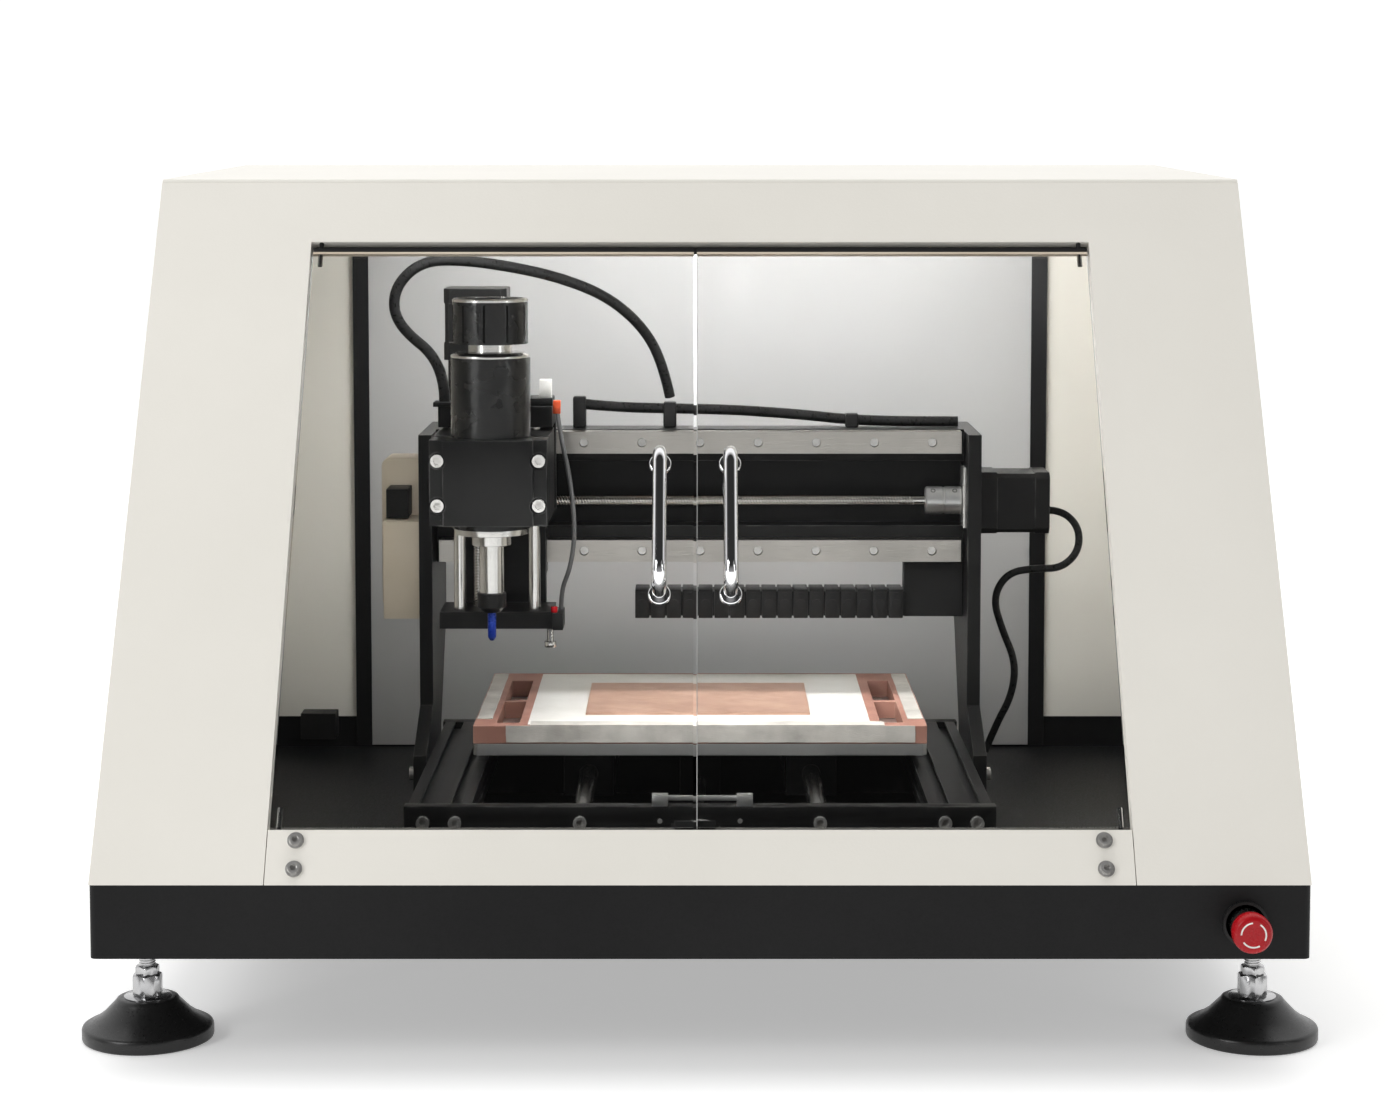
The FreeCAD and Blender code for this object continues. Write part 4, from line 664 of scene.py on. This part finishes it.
def threadAlong(start, end, along):
    v = screwValues
    pitch = v["lead"] / v["starts"]
    crest, root = v["radius"] * mm, (v["radius"] - v["depth"]) * mm
    profile = []
    for tooth in range(v["starts"]):
        base = tooth * pitch
        profile += [(root, base * mm), (crest, (base + 0.35 * pitch) * mm),
                    (crest, (base + 0.62 * pitch) * mm)]
    profile.append((root, v["lead"] * mm))
    length = (Vector(end) - Vector(start)).length
    turns = int(length / (v["lead"] * mm)) - 2
    thread = lathed(profile, (0, 0, 0), steps=28, rise=v["lead"] * mm, turns=turns)
    reach = drum(root + 0.08 * mm, length, (0, 0, length / 2 - v["lead"] * mm / 2), sides=28)
    piece = joinedAs("thread", [thread, reach])
    piece.rotation_euler = lieAlong[along]
    piece.location = Vector(start) + (Vector(end) - Vector(start)).normalized() * v["lead"] * mm / 2
    settled(piece)
    smooth(piece, 30)
    return piece


def makeScrew(node, name, body, along):
    v = screwValues
    main = "XYZ".index(along)
    first, second = [axis for axis in range(3) if axis != main]
    low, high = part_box(node)
    centre = (low + high) / 2
    wide = [corner.co[main] for corner in nodes[node].data.vertices
            if math.hypot(corner.co[first] - centre[first], corner.co[second] - centre[second]) > 8 * mm]
    foot, head = min(wide), max(wide)
    radius, length = v["couplingRadius"], (head - foot) / mm

    def onAxis(height):
        place = centre.copy()
        place[main] = height
        return place
    coupling = lathed([(r * mm, h * mm) for r, h in (
        (2.4, 0), (radius - 0.9, 0), (radius, 0.8), (radius, length / 2 - 1),
        (radius - 0.6, length / 2 - 0.5), (radius - 0.6, length / 2 + 0.5), (radius, length / 2 + 1),
        (radius, length - 0.8), (radius - 0.9, length), (2.4, length))], onAxis(foot), along, steps=56)
    smooth(coupling, 30)
    finished(coupling, name + "Coupling", body, "clearAnodised", [node])
    grubs = []
    for height in (foot + 5 * mm, head - 5 * mm):
        for angle in (40, 130):
            out = Vector((0, 0, 0))
            out[first], out[second] = math.cos(math.radians(angle)), math.sin(math.radians(angle))
            grub = lathed([(0, 0), (1.2 * mm, 0), (1.2 * mm, 0.6 * mm), (1.7 * mm, 0.7 * mm), (1.7 * mm, 0)],
                          (0, 0, 0), steps=16)
            grub.rotation_euler = out.to_track_quat("Z", "X").to_euler()
            grub.location = onAxis(height) + out * (radius - 0.55) * mm
            settled(grub)
            grubs.append(grub)
    finished(joinedAs("grubs", grubs), name + "CouplingScrews", body, "blackAnodised")
    thread = threadAlong(onAxis(low[main]), onAxis(foot), along)
    finished(thread, name + "Screw", body, "turnedSteel", [node])
    if high[main] > head + 1 * mm:
        stub = drum(2.5 * mm, high[main] - head + 1 * mm, onAxis((high[main] + head - 1 * mm) / 2), along, 24)
        finished(stub, name + "MotorShaft", body, "turnedSteel")


makeScrew("x_lead_screw", "gantry", "x_screw", "X")
makeScrew("y_lead_screw", "bed", "y_screw", "Y")
makeScrew("z_lead_screw", "lift", "z_screw", "Z")
print("screws made")


# cable chain under the gantry: hollow links on pins
chainValues = {"links": 17, "pitch": 11.0, "first": -45.0, "wall": 1.8, "height": 20, "gap": 1.2,
               "hollow": 3.2, "pinRadius": 3.2}


def makeChain():
    v = chainValues
    low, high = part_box("cable_chain")
    front, back = low.y, high.y
    bottom, top = low.z, low.z + v["height"] * mm
    x = v["first"] * mm
    size = (v["pitch"] - v["gap"]) * mm
    link = block((size, back - front, top - bottom), (x + size / 2, (front + back) / 2, (bottom + top) / 2))
    startEdit(link, "DESELECT")
    pickFaces(link, lambda place, normal: abs(normal.x) > 0.9)
    bpy.ops.mesh.inset(thickness=v["wall"] * mm)
    bpy.ops.mesh.extrude_region_shrink_fatten(TRANSFORM_OT_shrink_fatten={"value": -v["hollow"] * mm})
    endEdit()
    rounded(link, 0.5 * mm, 2)
    waist = block((2.2 * mm, back - front - 3 * mm, top - bottom - 3 * mm),
                  (x + size + 0.5 * mm, (front + back) / 2, (bottom + top) / 2))
    rounded(waist, 0.3 * mm, 1)
    pins = [drum(v["pinRadius"] * mm, 0.8 * mm, (x + size / 2, y, (bottom + top) / 2), "Y", 20)
            for y in (front - 0.3 * mm, back + 0.3 * mm)]
    notch = block((3.2 * mm, 0.7 * mm, 2.2 * mm), (x + size / 2, front - 0.2 * mm, top - 3 * mm))
    rounded(notch, 0.2 * mm, 1)
    chain = joinedAs("chain", [link, waist, notch] + pins)
    applied(chain, "ARRAY", count=v["links"], use_relative_offset=False, use_constant_offset=True,
            constant_offset_displace=(v["pitch"] * mm, 0, 0))
    smooth(chain, 30)
    finished(chain, "cableChain", "frame", "blackPlastic", ["cable_chain"])
    anchors = [piece for piece in solidsOf("cable_chain") if middle(piece).x > 0.15]
    for spare in [o for o in bpy.data.objects if o.name.startswith("cable_chainCopy") and o not in anchors]:
        bpy.data.objects.remove(spare)
    anchor = joinedAs("anchor", anchors)
    rounded(anchor, 0.8 * mm)
    finished(anchor, "chainAnchor", "frame", "blackPlastic")


makeChain()
print("cable chain made")


# cords, in millimetres along their routes
def makeRoute(name, points, diameter):
    curve = bpy.data.curves.new(name, "CURVE")
    curve.dimensions = "3D"
    curve.resolution_u = 8
    spline = curve.splines.new("NURBS")
    spline.points.add(len(points) - 1)
    for point, (x, y, z) in zip(spline.points, points):
        point.co = (x * mm, y * mm, z * mm, 1)
    spline.order_u = 3
    spline.use_endpoint_u = True
    curve.bevel_depth = diameter / 2 * mm
    curve.bevel_resolution = 5
    curve.use_fill_caps = True
    cord = bpy.data.objects.new(name, curve)
    bpy.context.scene.collection.objects.link(cord)
    return cord


def lineOf(cord):
    # the smooth line that a cord follows, read from its spline with no thickness
    thickness = cord.data.bevel_depth
    cord.data.bevel_depth = 0
    bpy.context.view_layer.update()
    shape = bpy.data.meshes.new_from_object(cord.evaluated_get(bpy.context.evaluated_depsgraph_get()))
    cord.data.bevel_depth = thickness
    line = [tuple(corner.co) for corner in shape.vertices]
    bpy.data.meshes.remove(shape)
    return line


cordRoutes = {
    "carriageCable": {"thick": 7.4, "points": [
        (-170.5, 8.5, 362), (-170.5, 8.5, 388), (-203, 11.5, 413), (-205, 14.5, 437), (-187, 18.5, 455),
        (-161, 26.5, 456), (-128, 38.5, 451), (-95, 51.5, 443), (-64, 65.5, 430), (-40, 78.5, 409),
        (-26, 88.5, 383), (-21, 94.5, 358.5)]},
    "beamCable": {"thick": 7.4, "points": [
        (-88, 96.5, 354), (-62, 97.5, 351), (-20, 97.5, 350), (25, 98.5, 349), (68, 98.5, 346),
        (106, 97.5, 342), (146, 96.5, 341), (180, 96.5, 341)]},
    "motorLead": {"thick": 5.2, "points": [
        (240, 76.5, 281), (251, 76.5, 281), (263, 76.5, 269), (263, 77.5, 252), (251, 78.5, 240),
        (234, 79.5, 240), (214, 80.5, 237), (204, 82.5, 219), (211, 84.5, 196), (221, 87.5, 173),
        (219, 90.5, 149), (208, 93.5, 127), (201, 96.5, 108)]},
    "switchWire": {"thick": 3.2, "points": [
        (-96.5, 34.5, 352), (-93.5, 30.5, 333), (-88.5, 26.5, 312), (-85.5, 23.5, 290), (-84.5, 20.5, 268),
        (-87.5, 17.5, 248), (-93.5, 15.5, 234), (-93.5, 15.5, 221)]},
}


def finishedCord(cord, finish, node):
    cord.data.materials.append(finishes[finish])
    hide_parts(node)


def makeCords():
    made = {name: makeRoute(name, v["points"], v["thick"]) for name, v in cordRoutes.items()}
    lines = {name: lineOf(cord) for name, cord in made.items()}
    arch = made["carriageCable"]
    pickOnly(arch)
    bpy.ops.object.convert(target="MESH")
    finishedCord(arch, "sleeve", "carriage_cable")
    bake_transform(arch)
    bundle = made["beamCable"]
    finishedCord(bundle, "sleeve", "frame_cables")
    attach(bundle, "frame")
    lead = made["motorLead"]
    finishedCord(lead, "sleeve", "frame_cables")
    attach(lead, "frame")
    wire = made["switchWire"]
    finishedCord(wire, "greyWire", "switch_wire")
    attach(wire, "x_carriage")


makeCords()

# saddles that hold the bundle down on the gantry beam
saddleValues = {"places": (-84.0, -21.0, 106.0), "size": (9.0, 11.5), "headroom": 4.6}


def makeSaddles():
    v = saddleValues
    route = [Vector(point) * mm for point in cordRoutes["beamCable"]["points"]]
    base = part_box("x_beam")[1].z
    saddles = []
    for x in v["places"]:
        near = min(route, key=lambda point: abs(point.x - x * mm))
        top = near.z + v["headroom"] * mm
        saddle = block((v["size"][0] * mm, v["size"][1] * mm, top - base), (x * mm, near.y, (top + base) / 2))
        rounded(saddle, 1.2 * mm, 3)
        saddles.append(saddle)
    piece = joinedAs("cableSaddles", saddles)
    smooth(piece)
    finished(piece, "cableSaddles", "frame", "blackPlastic")


makeSaddles()
print("cords made")


# spindle trim: a bright ring round the top can and, below it, thin near-black strips on the can's surface
# that paint the shade of cooling slots instead of cutting them
spindleValues = {"centre": (-136.5, -35.5), "topRadius": 24.6, "topHeight": 432.5, "slots": 10,
                 "slotSize": (1.6, 24.0), "slotDrop": 15.5}


def makeSpindleTrim():
    v = spindleValues
    x, y = v["centre"][0] * mm, v["centre"][1] * mm
    radius, top = v["topRadius"], v["topHeight"]
    ring = lathed([(r * mm, h * mm) for r, h in (
        (radius - 3.4, top - 0.6), (radius - 3.4, top + 0.5), (radius - 0.9, top + 0.5),
        (radius + 0.15, top - 0.3), (radius + 0.15, top - 1.7), (radius - 0.6, top - 1.7),
        (radius - 0.6, top - 0.6), (radius - 3.4, top - 0.6))], (x, y, 0), steps=72)
    smooth(ring, 40)
    finished(ring, "spindleTopRing", "spindle_carrier", "turnedSteel")
    slots = []
    for turn in range(v["slots"]):
        # each slot is a flat near-black strip: painted shade, not an opening
        slot = block((v["slotSize"][0] * mm, 0.5 * mm, v["slotSize"][1] * mm), (0, 0, 0))
        rounded(slot, 0.2 * mm, 1)
        angle = 2 * math.pi * (turn + 0.35) / v["slots"]
        slot.rotation_euler = (0, 0, angle + math.pi / 2)
        slot.location = (x + (radius - 0.1) * mm * math.cos(angle), y + (radius - 0.1) * mm * math.sin(angle),
                         (top - v["slotDrop"]) * mm)
        settled(slot)
        slots.append(slot)
    finished(joinedAs("coolingSlots", slots), "coolingSlots", "spindle_carrier", "slotDark")


makeSpindleTrim()

# nodes whose solids differ in colour, from left to right
solidFinishes = {
    "carriage_switches": (("cableGland", "blackPlastic"), ("sensorBlock", "blackPlastic"),
                          ("sensorPlug", "whitePlastic"), ("thumbScrew", "turnedSteel"),
                          ("sensorLamp", "redPlastic"), ("sensorLever", "orangePlastic"),
                          ("limitSwitch", "blackPlastic")),
    "controller_board": (("boardPostA", "boltSteel"), ("boardPostB", "boltSteel"),
                         ("boardCanA", "blackSatin"), ("boardPlugA", "creamPlastic"),
                         ("boardCanB", "blackSatin"), ("boardPlugB", "creamPlastic"),
                         ("controllerBoard", "greenBoard"), ("boardCanC", "blackSatin"),
                         ("boardCanD", "blackSatin"), ("boardPlugC", "creamPlastic"),
                         ("boardPostC", "boltSteel"), ("boardPostD", "boltSteel")),
    "bed_end_plates": (("bedFrontPlate", "blackAnodised"), ("bedRearPlate", "blackAnodised"),
                       ("bedStopBar", "clearAnodised")),
    "junction_box": (("boxPlug", "blackPlastic"), ("boxCase", "creamPlastic"), ("boxCover", "creamPlastic")),
    "milling_bit": (("millingBit", "blueCoat"),),
}
for node, looks in solidFinishes.items():
    solids = solidsOf(node)
    for piece, (name, finish) in zip(solids, looks):
        rounded(piece, 0.35 * mm)
        smooth(piece)
        finished(piece, name, nodes[node]["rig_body"], finish, [node])
    print(node, "solids:", len(solids), "looks:", len(looks))


# tape and paper on the spoil board: thin, creased and not quite straight
tapeValues = {"crease": 0.9, "sheetCrease": 0.25, "cuts": 22, "foldScale": 0.011,
              "foldAcross": (-0.112, 0.122), "foldDepth": 0.013}


def creasedStrip(name, low, high, finish, crease):
    size = [b - a for a, b in zip(low, high)]
    strip = block(size, [(a + b) / 2 for a, b in zip(low, high)])
    startEdit(strip)
    bpy.ops.mesh.subdivide(number_cuts=tapeValues["cuts"])
    bpy.ops.mesh.subdivide(number_cuts=1)
    endEdit()
    folds = bpy.data.textures.new(name + "Folds", "CLOUDS")
    folds.noise_scale = tapeValues["foldScale"]
    folds.noise_depth = 2
    applied(strip, "DISPLACE", texture=folds, texture_coords="LOCAL", strength=crease * mm, mid_level=0.35)
    smooth(strip, 60)
    return finished(strip, name, "table", finish, ["tape_and_sheet"])


def makeTape():
    v = tapeValues
    names = (("tapeLeft", "maskingTape"), ("paperSheet", "paperSheet"), ("tapeFront", "maskingTape"),
             ("tapeRight", "maskingTape"))
    for spare, (name, finish) in zip(solidsOf("tape_and_sheet"), names):
        low = Vector([min(c.co[i] for c in spare.data.vertices) for i in range(3)])
        high = Vector([max(c.co[i] for c in spare.data.vertices) for i in range(3)])
        bpy.data.objects.remove(spare)
        creasedStrip(name, low, high, finish, v["sheetCrease"] if finish == "paperSheet" else v["crease"])
    # the front tape folds over on to the top
    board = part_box("spoilboard")
    low = Vector((v["foldAcross"][0], board[0].y - 0.0004, board[1].z + 0.0001))
    high = Vector((v["foldAcross"][1], board[0].y + v["foldDepth"], board[1].z + 0.0006))
    creasedStrip("tapeFold", low, high, "maskingTape", v["crease"])


makeTape()
print("tape made")


# studio: floor, soft boxes, sky and camera
studio = {"floor": (0.93, 0.93, 0.925), "floorGlow": 0.30, "cameraPlace": (0.0, -1.9135, 0.5164),
          "tilt": 4.38, "lens": 74.2, "shiftDown": 0.12, "sun": 1.15, "sunSpread": 90, "sky": 1.1,
          "lowFront": 0.28, "skyOnPaint": 0.70, "dim": 0.03}
lights = {
    "leftBox": {"place": (-2.6, -2.2, 2.3), "aim": (0, 0, 0.25), "size": (1.6, 1.6), "power": 42},
    "rightBox": {"place": (2.6, -2.2, 2.1), "aim": (0, 0, 0.25), "size": (1.6, 1.6), "power": 2},
    "topBox": {"place": (0, 0.5, 3.0), "aim": (0, 0.1, 0.3), "size": (2.6, 1.8), "power": 22,
               "mirrored": False},
    "tableStrip": {"place": (0, -0.008, 0.486), "aim": (0, 0.06, 0.14), "size": (0.40, 0.05), "power": 1.25,
                   "mirrored": False, "spread": 140},
    "rearWash": {"place": (0.03, 0.18, 0.478), "aim": (0.03, 0.31, 0.430), "size": (0.44, 0.03), "power": 2.6,
                 "mirrored": False, "spread": 130},
    "leftStrip": {"place": (-1.5, -1.5, 0.75), "aim": (0, 0, 0.35), "size": (0.16, 1.1), "power": 4.0},
    "rightStrip": {"place": (1.7, -1.3, 0.75), "aim": (0, 0, 0.35), "size": (0.12, 1.1), "power": 2.4},
    "windowFill": {"place": (0, -0.12, 0.34), "aim": (0, 0.02, 0.14), "size": (0.46, 0.03), "power": 0.34,
                   "mirrored": False, "spread": 110},
    "underGlow": {"place": (0, 0.0, 0.052), "aim": (0, 0.001, 0), "size": (0.66, 0.5), "power": 0.13,
                  "mirrored": False},
}


def makeFloor():
    bpy.ops.object.select_all(action="DESELECT")
    bpy.ops.mesh.primitive_plane_add(size=160, location=(0, 60, 0))
    floor = bpy.context.active_object
    floor.name = "studioFloor"
    paint = bpy.data.materials.new("floorPaint")
    paint.use_nodes = True
    shader = paint.node_tree.nodes["Principled BSDF"]
    shader.inputs["Base Color"].default_value = (*studio["floor"], 1)
    shader.inputs["Roughness"].default_value = 0.8
    shader.inputs["Emission Color"].default_value = (1, 1, 1, 1)
    shader.inputs["Emission Strength"].default_value = studio["floorGlow"]
    shader.inputs["Specular IOR Level"].default_value = 0.2
    floor.data.materials.append(paint)


def makeSoftBox(name, place, aim, size, power, mirrored=True, spread=180):
    # the camera sees no light itself; one that is not mirrored shows in no surface or glass either
    bpy.ops.object.light_add(type="AREA", location=place)
    lamp = bpy.context.active_object
    lamp.name = name
    lamp.visible_camera = False
    lamp.visible_transmission = mirrored
    lamp.visible_glossy = mirrored
    lamp.data.spread = math.radians(spread)
    lamp.data.shape = "RECTANGLE"
    lamp.data.size, lamp.data.size_y = size
    lamp.data.energy = power
    lamp.rotation_euler = (Vector(aim) - Vector(place)).to_track_quat("-Z", "Y").to_euler()


def makeSun():
    # a wide, soft light from straight above
    bpy.ops.object.light_add(type="SUN", location=(0, 0, 3))
    sun = bpy.context.active_object
    sun.name = "overheadGlow"
    sun.data.energy = studio["sun"]
    sun.data.angle = math.radians(studio["sunSpread"])
    sun.visible_glossy = False
    sun.visible_transmission = False


def makeSky():
    world = bpy.data.worlds.new("studioSky")
    bpy.context.scene.world = world
    world.use_nodes = True
    tree = world.node_tree
    coords = tree.nodes.new("ShaderNodeTexCoord")
    split = tree.nodes.new("ShaderNodeSeparateXYZ")
    tree.links.new(coords.outputs["Generated"], split.inputs[0])
    # bright behind the machine and low in front of it, dim in the part of the sky that the sheets mirror
    behind = ranged(tree, split.outputs["Y"], studio["dim"], studio["sky"], -0.2, 0.2)
    low = ranged(tree, split.outputs["Z"], studio["lowFront"], studio["dim"], 0.15, 0.50)
    most = tree.nodes.new("ShaderNodeMath")
    most.operation = "MAXIMUM"
    tree.links.new(behind, most.inputs[0])
    tree.links.new(low, most.inputs[1])
    tree.nodes["Background"].inputs["Color"].default_value = (1, 1, 1, 1)
    rays = tree.nodes.new("ShaderNodeLightPath")
    eased = ranged(tree, rays.outputs["Is Diffuse Ray"], 1.0, studio["skyOnPaint"], 0.0, 1.0)
    strength = tree.nodes.new("ShaderNodeMath")
    strength.operation = "MULTIPLY"
    tree.links.new(most.outputs[0], strength.inputs[0])
    tree.links.new(eased, strength.inputs[1])
    tree.links.new(strength.outputs[0], tree.nodes["Background"].inputs["Strength"])


def makeCamera():
    bpy.ops.object.camera_add(location=studio["cameraPlace"])
    camera = bpy.context.active_object
    camera.name = "studioCamera"
    camera.data.lens = studio["lens"]
    camera.data.sensor_width = 36
    camera.data.shift_y = -studio["shiftDown"]
    camera.rotation_euler = (math.radians(90 - studio["tilt"]), 0, 0)
    bpy.context.scene.camera = camera


makeFloor()
for name, light in lights.items():
    makeSoftBox(name, **light)
makeSun()
makeSky()
makeCamera()
bpy.context.scene.view_settings.view_transform = "Standard"
